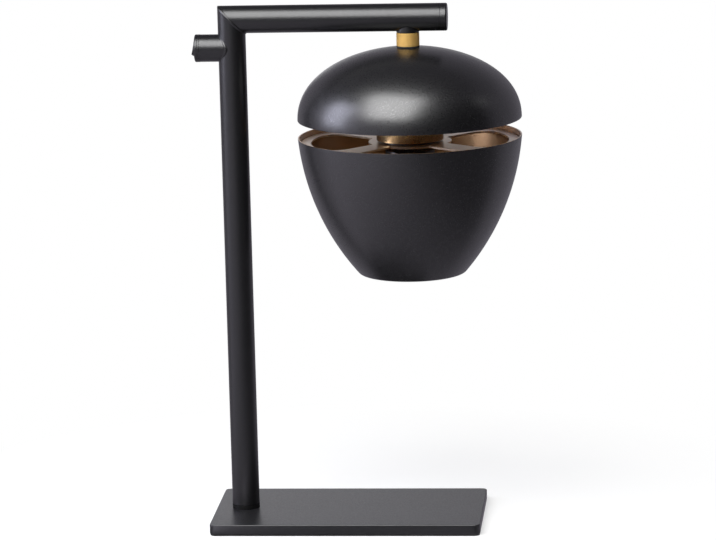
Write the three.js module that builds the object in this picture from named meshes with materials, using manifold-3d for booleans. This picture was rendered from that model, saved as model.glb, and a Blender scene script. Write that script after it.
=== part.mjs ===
// A desk lamp. An upright tube on a flat steel plate carries a mitred arm, and a dome and a bowl
// hang under the arm. A short stub behind the upright holds a round rocker switch.
// Millimetres, +Z up, +X along the arm. The origin is the centre of the underside.

import * as THREE from "three";
import { mergeVertices } from "three/addons/utils/BufferGeometryUtils.js";
import Module from "manifold-3d";

// Fits that all the pieces share.
const gap = 0.3; // from a piece to the seat that is cut for it
const overrun = 2; // how far a cutter runs past what it cuts
const weld = 0.0001; // points closer than this are one point

// The tube of the upright, the arm and the stub, and where each axis runs.
const tube = { diameter: 22, wall: 1 };
const armHeight = 408.7; // from the underside to the arm's axis
const armReach = 171.7; // from the upright's axis to the arm's free end
const shadeInset = 31.5; // from the arm's free end back to the shade's axis
const stubDrop = 22.7; // from the arm's axis down to the stub's axis
const stubReach = 29.6; // from the upright's axis to the face of the switch

const base = {
  length: 217,
  depth: 115.5,
  thickness: 8,
  cornerRadius: 4.5,
  edgeRound: 0.7,
  columnInset: 23.4, // from the plate's end to the upright's axis
};
const pad = { thickness: 1.2, inset: 1.6 };
const bolt = {
  diameter: 8,
  length: 15,
  headDiameter: 13,
  headHeight: 3.2,
  keyWidth: 5,
  keyDepth: 2,
};
const boltWasher = { diameter: 17, thickness: 1.2 };
const boltRecess = { diameter: 19, depth: 4.9 };
const footPlug = { flangeHeight: 3.6, spigotLength: 12 };
const endCap = { flangeLength: 5.5, spigotLength: 9, edgeRound: 1.2 };

const gland = {
  height: 34, // from the underside to its axis
  bore: 6.8,
  sleeveDiameter: 8.8,
  flangeDiameter: 13,
  noseDiameter: 10,
  reach: 15.6, // from the upright's axis to its nose
  flangeReach: 13.6,
  sleeveStart: 8.4,
};
const block = { width: 12, depth: 9, height: 20, lift: 7, setBack: 3, corner: 1 };
const lead = { diameter: 2.2, spacing: 3.6 };

// The round rocker switch. Depths are measured inwards from its face.
const rockerSwitch = {
  bezelThickness: 2.4,
  bezelRound: 0.8,
  ringThickness: 1.6,
  bodyDepth: 14.9,
  openingDiameter: 15.8,
  wellDepth: 11.2,
  pivotDepth: 3.3,
  pinDiameter: 1.8,
  pinLength: 18,
  pinHoleLength: 18.6,
};
const rocker = {
  tilt: 11, // degrees each way
  diameter: 13.8,
  endRadius: 7.4, // of the ends, about the pivot
  faceHeight: 5.2, // above the pivot
  skirt: 2.6, // below the pivot
  dish: 0.6,
  springBore: 3.2,
  springBoreTop: 2.4, // above the pivot
};
const plunger = { diameter: 2.6, top: 0.6, tip: 5.6 };
const spring = { coilDiameter: 2, wire: 0.44, turns: 3 };
const seesaw = {
  length: 9.2,
  width: 3.4,
  thickness: 0.6,
  depth: 6, // from the rocker's pivot
  tiltShare: 0.6, // of the rocker's tilt
  studDiameter: 1.8,
  studHeight: 0.25,
  pivotLift: 0.3, // from its back to the edge that it rocks on
};
const terminal = { width: 4.8, thickness: 0.8, tail: 6.5, spread: 4.2, contactDepth: 7.7 };

// What hangs the shade. It turns on the nipple in the arm's lower wall.
const nipple = { diameter: 10, bore: 7, topDrop: 1.2, grip: 8.5 }; // grip: in the holder's cap
const nippleNut = { width: 14, thickness: 3 };
const saddle = { seat: 6.3, length: 15.2 }; // seat: from the arm's axis down
const springWasher = { diameter: 14.4, thickness: 0.9, cone: 0.3 };
const bush = { diameter: 18.2, bottom: 11.7, wing: 5 }; // from the arm's axis down
const collar = {
  diameter: 18.2,
  height: 10.8,
  chamfer: 0.5,
  grooves: 5,
  grooveDepth: 0.2,
  grooveWidth: 0.5,
};
const stop = {
  pinDiameter: 1.4,
  radius: 7.2,
  pinDrop: 2.2, // below the bush
  pinRoot: 2.4, // up in the bush
  trackWidth: 2,
  trackDepth: 2.6,
  toothWidth: 2,
};
const domeWasher = { diameter: 18.2, thickness: 0.8 };

// The shade.
const dome = { radius: 89.2, wall: 1.2, rise: 56.9, squareness: 2.15 };
const slotHeight = 14.2; // from the dome's lip down to the bowl's rim
const bowl = {
  radius: 89.2,
  wall: 1.2,
  sideRadius: 195,
  turnRadius: 43.7, // where the side ends and the bottom edge starts to turn
  turnDrop: 108.9, // from the rim to there
  edgeRound: 5,
  lipWidth: 3.2,
};
const spider = {
  drop: 4.1, // from the bowl's rim to its upper face
  thickness: 1.5,
  ringWidth: 8,
  hubDiameter: 66.2,
  spokeWidth: 20,
  outerFillet: 14,
  innerFillet: 2,
  windows: 4,
  turn: 4, // degrees, as the shade stands
};
const cup = {
  diameter: 53.4,
  wall: 1,
  shoulderRound: 3,
  topDrop: 2.6, // from the dome's inside down to its top
  lift: 1.3, // from the spider's upper face to its lower edge
};
const cupSpacer = { diameter: 18 };
const cupNut = { width: 14, thickness: 4 };

// The lamp holder, a standard E27 one, and its bulb. Heights are from the spider's upper face.
const holder = {
  skirtDiameter: 39.8,
  skirtDrop: 13,
  flangeDiameter: 45,
  flangeThickness: 2.5,
  bodyDiameter: 39,
  bodyHeight: 20.6,
  bore: 30,
};
const holderCap = {
  height: 47.6,
  shoulderHeight: 30.6,
  neckHeight: 42.6,
  neckDiameter: 16,
  wall: 1.5,
};
const insert = { height: 14.1, thickness: 7.4 };
const shell = { diameter: 29.4, wall: 0.6, length: 22, top: 13.6 };
const centreContact = { length: 9, width: 4, thickness: 0.6 };
const ringNut = { diameter: 50, thickness: 3.2, chamfer: 0.8 };
const bulb = {
  capDiameter: 26.4,
  threadDepth: 0.9,
  threadTurns: 5,
  capTop: 11.7,
  capLength: 24,
  capNeck: 18,
  contactDiameter: 9,
  contactThickness: 0.8,
  housingDiameter: 42,
  housingLength: 20,
  globeDiameter: 45,
  globeWall: 1.2,
};

// How many sides the turned pieces have.
const sides = { shade: 44, tube: 28, small: 16, tiny: 10, lead: 6 };
const steps = { dome: 8, bowlSide: 6, bowlEdge: 2, round: 2, lead: 3, globe: 6 };

// Worked out from the sizes above.
const tubeRadius = tube.diameter / 2;
const tubeBore = tubeRadius - tube.wall;
const columnX = base.columnInset - base.length / 2;
const baseTop = pad.thickness + base.thickness;
const shadeReach = armReach - shadeInset;
const stubHeight = armHeight - stubDrop;
const domeTop = armHeight - bush.bottom - gap - collar.height - domeWasher.thickness;
const domeLip = domeTop - dome.rise;
const bowlRim = domeLip - slotHeight;
const spiderTop = bowlRim - spider.drop;
const nippleTop = armHeight - nipple.topDrop;
const nippleLow = spiderTop + holderCap.height - nipple.grip;
const boltHole = bolt.diameter / 2 + gap;
const nippleHole = nipple.diameter / 2 + gap;
const insertTop = spiderTop + insert.height + insert.thickness;

const finish = {
  blackPaint: { color: 0x1d1d20, roughness: 0.5, metalness: 0.2 },
  greyPaint: { color: 0x5c5c60, roughness: 0.6, metalness: 0.2 },
  blackPlastic: { color: 0x151516, roughness: 0.45, metalness: 0 },
  rubber: { color: 0x1a1a1a, roughness: 0.9, metalness: 0 },
  steel: { color: 0xa8aaad, roughness: 0.35, metalness: 1 },
  brass: { color: 0xc79a4b, roughness: 0.3, metalness: 1 },
  bronze: { color: 0x8a6a3c, roughness: 0.45, metalness: 0.8 },
  ceramic: { color: 0xe9e6de, roughness: 0.4, metalness: 0 },
  opal: { color: 0xf4f2ec, roughness: 0.3, metalness: 0 },
  brownWire: { color: 0x6b4326, roughness: 0.5, metalness: 0 },
  blueWire: { color: 0x2f5f9e, roughness: 0.5, metalness: 0 },
};

const wasm = await Module();
wasm.setup();

// Solids: joined points, no empty triangles, faces outwards.
function toSolid(geometry) {
  const bare = geometry.clone();
  bare.deleteAttribute("normal");
  bare.deleteAttribute("uv");
  const merged = mergeVertices(bare, weld);
  const points = merged.attributes.position.array;
  const corners = [];
  for (let i = 0; i < merged.index.count; i += 3) {
    const [a, b, c] = merged.index.array.slice(i, i + 3);
    if (a !== b && b !== c && c !== a) {
      corners.push(a, b, c);
    }
  }
  if (volumeOf(points, corners) < 0) {
    corners.reverse();
  }
  return new wasm.Manifold(
    new wasm.Mesh({
      numProp: 3,
      vertProperties: new Float32Array(points),
      triVerts: new Uint32Array(corners),
    }),
  );
}

function volumeOf(points, corners) {
  const [a, b, c] = [new THREE.Vector3(), new THREE.Vector3(), new THREE.Vector3()];
  let six = 0;
  for (let i = 0; i < corners.length; i += 3) {
    a.fromArray(points, corners[i] * 3);
    b.fromArray(points, corners[i + 1] * 3);
    c.fromArray(points, corners[i + 2] * 3);
    six += a.dot(b.cross(c));
  }
  return six / 6;
}

function toGeometry(solid) {
  const mesh = solid.getMesh();
  const geometry = new THREE.BufferGeometry();
  geometry.setAttribute("position", new THREE.BufferAttribute(mesh.vertProperties, 3));
  geometry.setIndex(new THREE.BufferAttribute(mesh.triVerts, 1));
  geometry.computeVertexNormals();
  return geometry;
}

function combine(first, operation, others) {
  let solid = toSolid(first);
  for (const other of others) {
    solid = solid[operation](toSolid(other));
  }
  return toGeometry(solid);
}

const cut = (body, ...tools) => combine(body, "subtract", tools);
const join = (body, ...more) => combine(body, "add", more);
const within = (body, ...limits) => combine(body, "intersect", limits);

// Shapes about +Z. A profile is a list of [radius, height].
function turned(profile, count) {
  const outline = profile.map(([radius, height]) => new THREE.Vector2(radius, height));
  return new THREE.LatheGeometry(outline, count).rotateX(Math.PI / 2);
}

function rod(radius, low, high, count) {
  const profile = [
    [0, low],
    [radius, low],
    [radius, high],
    [0, high],
  ];
  return turned(profile, count);
}

function ring(inner, outer, low, high, count) {
  const profile = [
    [inner, low],
    [outer, low],
    [outer, high],
    [inner, high],
    [inner, low],
  ];
  return turned(profile, count);
}

function bar(width, depth, low, high) {
  return new THREE.BoxGeometry(width, depth, high - low).translate(0, 0, (low + high) / 2);
}

function hexagon(width, low, high) {
  const corner = width / Math.sqrt(3);
  return new THREE.CylinderGeometry(corner, corner, high - low, 6)
    .rotateX(Math.PI / 2)
    .translate(0, 0, (low + high) / 2);
}

// Turns a shape's +Z to point along +X, or along +Y.
const alongX = (shape) => shape.rotateY(Math.PI / 2);
const alongY = (shape) => shape.rotateX(-Math.PI / 2);

// Points of an arc in a profile, its ends included.
function arc(centre, radius, from, to, count) {
  const points = [];
  for (let i = 0; i <= count; i++) {
    const angle = from + ((to - from) * i) / count;
    points.push([centre[0] + radius * Math.cos(angle), centre[1] + radius * Math.sin(angle)]);
  }
  return points;
}

function roundedSlab(length, depth, radius) {
  const [x, y] = [length / 2 - radius, depth / 2 - radius];
  const shape = new THREE.Shape();
  shape.absarc(x, -y, radius, -Math.PI / 2, 0);
  shape.absarc(x, y, radius, 0, Math.PI / 2);
  shape.absarc(-x, y, radius, Math.PI / 2, Math.PI);
  shape.absarc(-x, -y, radius, Math.PI, Math.PI * 1.5);
  shape.closePath();
  return shape;
}

function groupAt(parent, x, y, z) {
  const group = new THREE.Group();
  group.position.set(x, y, z);
  parent.add(group);
  return group;
}

function addPiece(parent, name, shape, look) {
  const mesh = new THREE.Mesh(toGeometry(toSolid(shape)), new THREE.MeshStandardMaterial(look));
  mesh.name = name;
  parent.add(mesh);
  return mesh;
}

// The base: a steel plate with a recess for the bolt, and a thin pad under it.
function basePlate() {
  const round = base.edgeRound;
  const outline = roundedSlab(
    base.length - round * 2,
    base.depth - round * 2,
    base.cornerRadius - round,
  );
  const plate = new THREE.ExtrudeGeometry(outline, {
    depth: base.thickness - round * 2,
    bevelThickness: round,
    bevelSize: round,
    bevelSegments: steps.round,
    curveSegments: steps.round,
  }).translate(0, 0, round);
  const hole = rod(boltHole, -overrun, base.thickness + overrun, sides.small);
  const recess = rod(boltRecess.diameter / 2, -overrun, boltRecess.depth, sides.tube);
  return cut(plate, hole.translate(columnX, 0, 0), recess.translate(columnX, 0, 0));
}

function basePad() {
  const inset = pad.inset;
  const outline = roundedSlab(
    base.length - inset * 2,
    base.depth - inset * 2,
    base.cornerRadius,
  );
  return new THREE.ExtrudeGeometry(outline, {
    depth: pad.thickness,
    bevelEnabled: false,
    curveSegments: steps.round,
  });
}

// The bolt points up. Its washer lies on its head, against the roof of the recess.
function baseBolt() {
  const screw = join(
    rod(bolt.headDiameter / 2, -bolt.headHeight, 0, sides.small),
    rod(bolt.diameter / 2, -bolt.headHeight / 2, bolt.length, sides.small),
  );
  const key = hexagon(bolt.keyWidth, -bolt.headHeight - overrun, bolt.keyDepth - bolt.headHeight);
  return cut(screw, key);
}

function makeBase(lamp) {
  const plate = groupAt(lamp, 0, 0, pad.thickness);
  addPiece(lamp, "base_pad", basePad(), finish.rubber);
  addPiece(plate, "base_plate", basePlate(), finish.greyPaint);

  const washerTop = boltRecess.depth;
  const washerLow = washerTop - boltWasher.thickness;
  const fixing = groupAt(plate, columnX, 0, 0);
  const washer = ring(boltHole, boltWasher.diameter / 2, washerLow, washerTop, sides.small);
  addPiece(fixing, "base_washer", washer, finish.steel);
  addPiece(groupAt(fixing, 0, 0, washerLow), "base_bolt", baseBolt(), finish.steel);
}

// The upright: a plug that the bolt pulls down, and the tube that stands on its flange.
function footPlugShape() {
  const spigot = tubeBore - gap;
  const profile = [
    [boltHole, 0],
    [tubeRadius, 0],
    [tubeRadius, footPlug.flangeHeight],
    [spigot, footPlug.flangeHeight],
    [spigot, footPlug.flangeHeight + footPlug.spigotLength],
    [boltHole, footPlug.flangeHeight + footPlug.spigotLength],
    [boltHole, 0],
  ];
  return turned(profile, sides.tube);
}

// A block whose face lies on the mitre plane, a half gap from it, on the side that is cut away.
function mitreCutter(side) {
  const size = tube.diameter * 3;
  const shift = side * (size / 2 - gap / 2) * Math.SQRT1_2;
  return new THREE.BoxGeometry(size, size, size).rotateY(-Math.PI / 4).translate(shift, 0, shift);
}

function columnTube() {
  const low = baseTop + footPlug.flangeHeight - armHeight;
  const body = ring(tubeBore, tubeRadius, low, tube.diameter, sides.tube);
  const stubHole = rod(tubeBore - tube.wall, 0, tube.diameter, sides.tube).rotateY(-Math.PI / 2);
  const glandHole = alongY(rod(gland.sleeveDiameter / 2 + gap, 0, tube.diameter, sides.small));
  return cut(
    body,
    mitreCutter(1),
    stubHole.translate(0, 0, stubHeight - armHeight),
    glandHole.translate(0, 0, gland.height - armHeight),
  );
}

function glandShape() {
  const noseRound = gland.reach - gland.flangeReach;
  const profile = [
    [gland.bore / 2, gland.sleeveStart],
    [gland.flangeDiameter / 2, gland.sleeveStart],
    [gland.flangeDiameter / 2, gland.flangeReach],
    [gland.noseDiameter / 2, gland.flangeReach],
    [gland.noseDiameter / 2 - noseRound / 2, gland.reach],
    [gland.bore / 2, gland.reach],
    [gland.bore / 2, gland.sleeveStart],
  ];
  const flange = cut(
    alongY(turned(profile, sides.small)),
    rod(tubeRadius + gap, -tube.diameter, tube.diameter, sides.tube),
  );
  const sleeve = ring(
    gland.bore / 2,
    gland.sleeveDiameter / 2,
    gland.sleeveStart,
    gland.flangeReach,
    sides.small,
  );
  return join(flange, alongY(sleeve));
}

function makeUpright(lamp) {
  const foot = groupAt(lamp, columnX, 0, baseTop);
  addPiece(foot, "foot_plug", footPlugShape(), finish.blackPaint);
  addPiece(groupAt(lamp, columnX, 0, armHeight), "column_tube", columnTube(), finish.blackPaint);
  const entry = groupAt(lamp, columnX, 0, gland.height);
  addPiece(entry, "cable_gland", glandShape(), finish.blackPlastic);
}

// The arm, mitred to the upright, and the cap in its free end.
function armTube() {
  const end = armReach - endCap.flangeLength;
  const body = alongX(ring(tubeBore, tubeRadius, -tube.diameter, end, sides.tube));
  const hole = rod(nippleHole, -tube.diameter, 0, sides.small).translate(shadeReach, 0, 0);
  return cut(body, mitreCutter(-1), hole);
}

function armEndCap() {
  const spigot = tubeBore - gap;
  const round = endCap.edgeRound;
  const seat = armReach - endCap.flangeLength;
  const profile = [
    [0, seat - endCap.spigotLength],
    [spigot - round, seat - endCap.spigotLength],
    [spigot, seat - endCap.spigotLength + round],
    [spigot, seat],
    [tubeRadius, seat],
    ...arc([tubeRadius - round, armReach - round], round, 0, Math.PI / 2, steps.round),
    [0, armReach],
  ];
  return alongX(turned(profile, sides.tube));
}

function makeArm(lamp) {
  const arm = groupAt(lamp, columnX, 0, armHeight);
  addPiece(arm, "arm_tube", armTube(), finish.blackPaint);
  addPiece(arm, "arm_end_cap", armEndCap(), finish.blackPaint);
}

// The switch and its stub. +X points inwards from the switch's face, towards the upright.
const ringDepth = rockerSwitch.bezelThickness + rockerSwitch.ringThickness;
const barrelRadius = tubeBore - gap;
const openingRadius = rockerSwitch.openingDiameter / 2;
const rockerTilt = THREE.MathUtils.degToRad(rocker.tilt);

function stubTube() {
  const body = alongX(ring(tubeBore, tubeRadius, ringDepth, stubReach, sides.tube));
  const column = rod(tubeRadius + gap, -tube.diameter, tube.diameter, sides.tube);
  return cut(body, column.translate(stubReach, 0, 0));
}

function terminalSlot(offset) {
  const slot = bar(
    terminal.thickness + gap * 2,
    terminal.width + gap * 2,
    rockerSwitch.wellDepth - overrun,
    rockerSwitch.bodyDepth + overrun,
  );
  return alongX(slot).translate(0, 0, offset);
}

function switchBody() {
  const round = rockerSwitch.bezelRound;
  const bezelEdge = arc([tubeRadius - round, round], round, -Math.PI / 2, 0, steps.round);
  const profile = [
    [0, rockerSwitch.wellDepth],
    [openingRadius, rockerSwitch.wellDepth],
    [openingRadius, 0],
    ...bezelEdge,
    [tubeRadius, rockerSwitch.bezelThickness],
    [barrelRadius, rockerSwitch.bezelThickness],
    [barrelRadius, rockerSwitch.bodyDepth],
    [0, rockerSwitch.bodyDepth],
  ];
  const half = rockerSwitch.pinHoleLength / 2;
  const pinHole = alongY(rod(rockerSwitch.pinDiameter / 2 + gap, -half, half, sides.tiny));
  return cut(
    alongX(turned(profile, sides.tube)),
    pinHole.translate(rockerSwitch.pivotDepth, 0, 0),
    terminalSlot(0),
    terminalSlot(-terminal.spread),
  );
}

// The rocker, about its pivot: a disc with round ends, a dished face and two pins.
function rockerShape() {
  const { faceHeight, skirt, dish, endRadius, springBoreTop } = rocker;
  const half = rocker.diameter / 2;
  const dishRadius = (half * half + dish * dish) / (dish * 2);
  const body = within(
    alongX(rod(half, -faceHeight, skirt, sides.tube)),
    alongY(rod(endRadius, -half, half, sides.tube)),
  );
  const hollow = alongY(rod(dishRadius, -half, half, sides.shade * 2));
  const bore = alongX(rod(rocker.springBore / 2, -springBoreTop, skirt + overrun, sides.tiny));
  const pinHalf = rockerSwitch.pinLength / 2;
  const pins = alongY(rod(rockerSwitch.pinDiameter / 2, -pinHalf, pinHalf, sides.tiny));
  const dished = cut(body, hollow.translate(dish - faceHeight - dishRadius, 0, 0));
  return cut(join(dished, pins), bore);
}

function plungerShape() {
  const radius = plunger.diameter / 2;
  const nose = arc([0, plunger.tip - radius], radius, 0, Math.PI / 2, steps.round);
  return alongX(turned([[0, plunger.top], [radius, plunger.top], ...nose], sides.tiny));
}

class Helix extends THREE.Curve {
  constructor(radius, length, turns) {
    super();
    Object.assign(this, { radius, length, turns });
  }

  getPoint(share, target = new THREE.Vector3()) {
    const angle = share * this.turns * Math.PI * 2;
    const [y, z] = [Math.cos(angle) * this.radius, Math.sin(angle) * this.radius];
    return target.set(share * this.length, y, z);
  }
}

// A round bar of some sides swept along a curve.
function swept(curve, radius, count, stepCount) {
  const section = new THREE.Shape();
  for (let i = 0; i < count; i++) {
    const angle = (i / count) * Math.PI * 2;
    const method = i === 0 ? "moveTo" : "lineTo";
    section[method](Math.cos(angle) * radius, Math.sin(angle) * radius);
  }
  section.closePath();
  return new THREE.ExtrudeGeometry(section, { extrudePath: curve, steps: stepCount });
}

function plungerSpring() {
  const low = gap + spring.wire / 2 - rocker.springBoreTop;
  const high = plunger.top - gap - spring.wire / 2;
  const coil = new Helix(spring.coilDiameter / 2, high - low, spring.turns);
  return swept(coil, spring.wire / 2, sides.lead, spring.turns * sides.tiny).translate(low, 0, 0);
}

// A strip with a stud near each end, about the edge that it rocks on.
function seesawShape() {
  const back = -seesaw.pivotLift;
  const front = back - seesaw.thickness;
  const strip = alongX(bar(seesaw.length, seesaw.width, front, back));
  const stud = rod(seesaw.studDiameter / 2, front + gap, back + seesaw.studHeight, sides.tiny);
  const reach = terminal.spread;
  return join(
    strip,
    alongX(stud.clone()).translate(0, 0, reach),
    alongX(stud.clone()).translate(0, 0, -reach),
  );
}

function terminalShape(front) {
  const end = rockerSwitch.bodyDepth + terminal.tail;
  return alongX(bar(terminal.thickness, terminal.width, rockerSwitch.pivotDepth + front, end));
}

function makeSwitch(lamp) {
  const unit = groupAt(lamp, columnX - stubReach, 0, stubHeight);
  addPiece(unit, "stub_tube", stubTube(), finish.blackPaint);
  const spacer = ring(tubeBore, tubeRadius, rockerSwitch.bezelThickness, ringDepth, sides.tube);
  addPiece(unit, "switch_ring", alongX(spacer), finish.blackPlastic);
  addPiece(unit, "switch_body", switchBody(), finish.blackPlastic);

  const edgeDepth = seesaw.depth + seesaw.thickness + seesaw.pivotLift;
  addPiece(unit, "line_terminal", terminalShape(edgeDepth), finish.brass);
  const load = groupAt(unit, 0, 0, -terminal.spread);
  addPiece(load, "load_terminal", terminalShape(terminal.contactDepth), finish.brass);

  const rocking = groupAt(unit, rockerSwitch.pivotDepth, 0, 0);
  rocking.rotation.y = rockerTilt;
  addPiece(rocking, "rocker", rockerShape(), finish.blackPlastic);
  addPiece(rocking, "rocker_plunger", plungerShape(), finish.brass);
  addPiece(rocking, "rocker_spring", plungerSpring(), finish.steel);

  const contact = groupAt(unit, rockerSwitch.pivotDepth + edgeDepth, 0, 0);
  contact.rotation.y = -rockerTilt * seesaw.tiltShare;
  addPiece(contact, "contact_seesaw", seesawShape(), finish.brass);
}

// The wiring: a terminal block above the gland, and three leads in the tubes.
// Places are from the upright's axis, with heights from the underside.
const blockLow = gland.height + gland.flangeDiameter / 2 + block.lift;
const blockTop = blockLow + block.height;
const leadRadius = lead.diameter / 2;

// A lead steps evenly from point to point, so that bends get more steps than straight runs.
class LeadCurve extends THREE.CatmullRomCurve3 {
  getPointAt(share, target) {
    return this.getPoint(share, target);
  }

  getTangentAt(share, target) {
    return this.getTangent(share, target);
  }
}

function leadAlong(points) {
  const curve = new LeadCurve(points.map((point) => new THREE.Vector3(...point)));
  return swept(curve, leadRadius, sides.lead, (points.length - 1) * steps.lead);
}

// From above the switch, round the mitre, along the arm and down the nipple.
function armRoute(side) {
  const y = side * (lead.spacing / 2);
  const bend = tubeBore / 2;
  const [corner, top] = [tubeBore, armHeight];
  return [
    [0, y, top - tube.diameter],
    [bend / 2, y, top - corner],
    [corner, y, top - bend / 2],
    [corner + tube.diameter, y, top - bend / 4],
    [shadeReach / 2, y, top - bend / 4],
    [shadeReach - tube.diameter, y, top],
    [shadeReach - tubeBore, y, top + bend / 2],
    [shadeReach - bend / 2, y, top + bend],
    [shadeReach - bend / 8, y, nippleTop + bend / 2],
    [shadeReach, y, nippleTop - bend],
    [shadeReach, y, (nippleTop + nippleLow) / 2],
    [shadeReach, y, insertTop + gap],
  ];
}

// Where a lead meets a switch terminal's tail, from the upright's axis.
const tailEnd = rockerSwitch.bodyDepth + terminal.tail + gap * 2 - stubReach;

function lineLead() {
  const x = -lead.spacing;
  const y = -block.setBack;
  return leadAlong([
    [x, y, blockTop + gap],
    [x, y, armHeight / 3],
    [x, y, stubHeight - tube.diameter * 2],
    [x, y, stubHeight - tube.diameter],
    [tailEnd + leadRadius * 3, y, stubHeight - tubeBore / 2],
    [tailEnd + leadRadius * 3, y / 3, stubHeight - leadRadius / 2],
    [tailEnd, 0, stubHeight],
  ]);
}

function loadLead() {
  const z = stubHeight - terminal.spread;
  const start = [
    [tailEnd, 0, z],
    [tailEnd + lead.diameter, leadRadius, z],
    [tailEnd + lead.diameter * 2, lead.spacing / 2, z + leadRadius],
  ];
  return leadAlong([...start, ...armRoute(1).slice(1)]);
}

function neutralLead() {
  const x = lead.spacing;
  const y = -block.setBack;
  const start = [
    [x, y, blockTop + gap],
    [x, y, armHeight / 3],
    [x, y, stubHeight - tube.diameter],
  ];
  return leadAlong([...start, ...armRoute(-1).slice(1)]);
}

function makeWiring(lamp) {
  const wiring = groupAt(lamp, columnX, 0, 0);
  const body = new THREE.ExtrudeGeometry(roundedSlab(block.width, block.depth, block.corner), {
    depth: block.height,
    bevelEnabled: false,
    curveSegments: steps.round,
  });
  const carrier = groupAt(wiring, 0, -block.setBack, blockLow);
  addPiece(carrier, "terminal_block", body, finish.ceramic);
  addPiece(wiring, "line_lead", lineLead(), finish.brownWire);
  addPiece(wiring, "load_lead", loadLead(), finish.brownWire);
  addPiece(wiring, "neutral_lead", neutralLead(), finish.blueWire);
}

// The hanger, on the shade's axis. Heights are from the arm's axis.
function saddleWasher() {
  const half = saddle.length / 2;
  const slab = bar(saddle.length, saddle.length, -tubeBore, -saddle.seat);
  const inside = alongX(rod(tubeBore - gap, -half, half, sides.tube));
  return cut(within(slab, inside), rod(nippleHole, -tubeRadius, 0, sides.small));
}

function hangerBush() {
  const body = rod(bush.diameter / 2, -bush.bottom, -bush.wing, sides.tube);
  const arm = alongX(rod(tubeRadius + gap, -bush.diameter, bush.diameter, sides.tube));
  const pinHole = stop.pinDiameter / 2 + gap;
  const pin = rod(pinHole, -bush.bottom - overrun, stop.pinRoot - bush.bottom, sides.tiny);
  return cut(
    body,
    arm,
    rod(nippleHole, -bush.bottom - overrun, 0, sides.small),
    pin.translate(0, stop.radius, 0),
  );
}

// The collar, with fine turned grooves and a hidden track for the stop pin in its upper end.
function brassCollar() {
  const radius = collar.diameter / 2;
  const { chamfer, grooveDepth, grooveWidth, height } = collar;
  const profile = [
    [nippleHole, 0],
    [radius - chamfer, 0],
    [radius, chamfer],
  ];
  for (let i = 1; i <= collar.grooves; i++) {
    const middle = (height * i) / (collar.grooves + 1);
    profile.push([radius, middle - grooveWidth / 2]);
    profile.push([radius - grooveDepth, middle]);
    profile.push([radius, middle + grooveWidth / 2]);
  }
  profile.push([radius, height - chamfer], [radius - chamfer, height]);
  profile.push([nippleHole, height], [nippleHole, 0]);
  const inner = stop.radius - stop.trackWidth / 2;
  const outer = stop.radius + stop.trackWidth / 2;
  const track = ring(inner, outer, height - stop.trackDepth, height + overrun, sides.tube);
  const tooth = bar(stop.toothWidth, radius, 0, height + overrun * 2).translate(0, -stop.radius, 0);
  return cut(turned(profile, sides.tube), cut(track, tooth));
}

function conedWasher() {
  const outer = springWasher.diameter / 2;
  const { thickness, cone } = springWasher;
  const profile = [
    [nippleHole, cone],
    [outer, 0],
    [outer, thickness - cone],
    [nippleHole, thickness],
    [nippleHole, cone],
  ];
  return turned(profile, sides.small);
}

function nut(size) {
  return cut(
    hexagon(size.width, 0, size.thickness),
    rod(nippleHole, -overrun, size.thickness + overrun, sides.small),
  );
}

function makeHanger(lamp) {
  const hanger = groupAt(lamp, columnX + shadeReach, 0, armHeight);
  addPiece(hanger, "saddle_washer", saddleWasher(), finish.steel);
  addPiece(hanger, "hanger_bush", hangerBush(), finish.blackPlastic);

  const pinTop = stop.pinRoot - gap;
  const pin = rod(stop.pinDiameter / 2, -stop.pinDrop, pinTop, sides.tiny);
  const pinGroup = groupAt(hanger, 0, stop.radius, -bush.bottom);
  addPiece(pinGroup, "stop_pin", pin, finish.steel);

  const stem = ring(
    nipple.bore / 2,
    nipple.diameter / 2,
    nippleLow - armHeight,
    nippleTop - armHeight,
    sides.small,
  );
  addPiece(hanger, "nipple", stem, finish.steel);
  const washerLow = gap / 2 - saddle.seat;
  addPiece(groupAt(hanger, 0, 0, washerLow), "spring_washer", conedWasher(), finish.steel);
  const nutLow = washerLow + springWasher.thickness;
  addPiece(groupAt(hanger, 0, 0, nutLow), "nipple_nut", nut(nippleNut), finish.steel);
  const collarLow = domeTop + domeWasher.thickness - armHeight;
  addPiece(groupAt(hanger, 0, 0, collarLow), "brass_collar", brassCollar(), finish.brass);
}

// The dome: half of a flattened oval, turned. The power makes its shoulder fuller than a circle's.
function domeLine(radius, rise) {
  const points = [];
  for (let i = 0; i <= steps.dome; i++) {
    const angle = (i / steps.dome) * (Math.PI / 2);
    const lift = rise * Math.sin(angle) ** (2 / dome.squareness);
    points.push([Math.max(radius * Math.cos(angle), nippleHole), domeLip + lift]);
  }
  return points;
}

function domeShape() {
  const outer = domeLine(dome.radius, dome.rise);
  const inner = domeLine(dome.radius - dome.wall, dome.rise - dome.wall).reverse();
  return turned([...outer, ...inner, outer[0]], sides.shade);
}

// The bowl's side is one large arc, from its rim to where the lower edge starts to turn.
function bowlSide() {
  const rim = new THREE.Vector2(bowl.radius, bowlRim);
  const turn = new THREE.Vector2(bowl.turnRadius, bowlRim - bowl.turnDrop);
  const chord = turn.clone().sub(rim);
  const toCentre = new THREE.Vector2(chord.y, -chord.x).normalize();
  const depth = Math.sqrt(bowl.sideRadius ** 2 - chord.lengthSq() / 4);
  const centre = rim.clone().add(turn).multiplyScalar(1 / 2).addScaledVector(toCentre, depth);
  return { rim, turn, centre };
}

// The room inside the bowl at a height, between the flats of its wall.
function bowlRoom(height) {
  const { centre } = bowlSide();
  const reach = Math.sqrt((bowl.sideRadius - bowl.wall) ** 2 - (height - centre.y) ** 2);
  return (centre.x + reach) * Math.cos(Math.PI / sides.shade);
}

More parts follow.
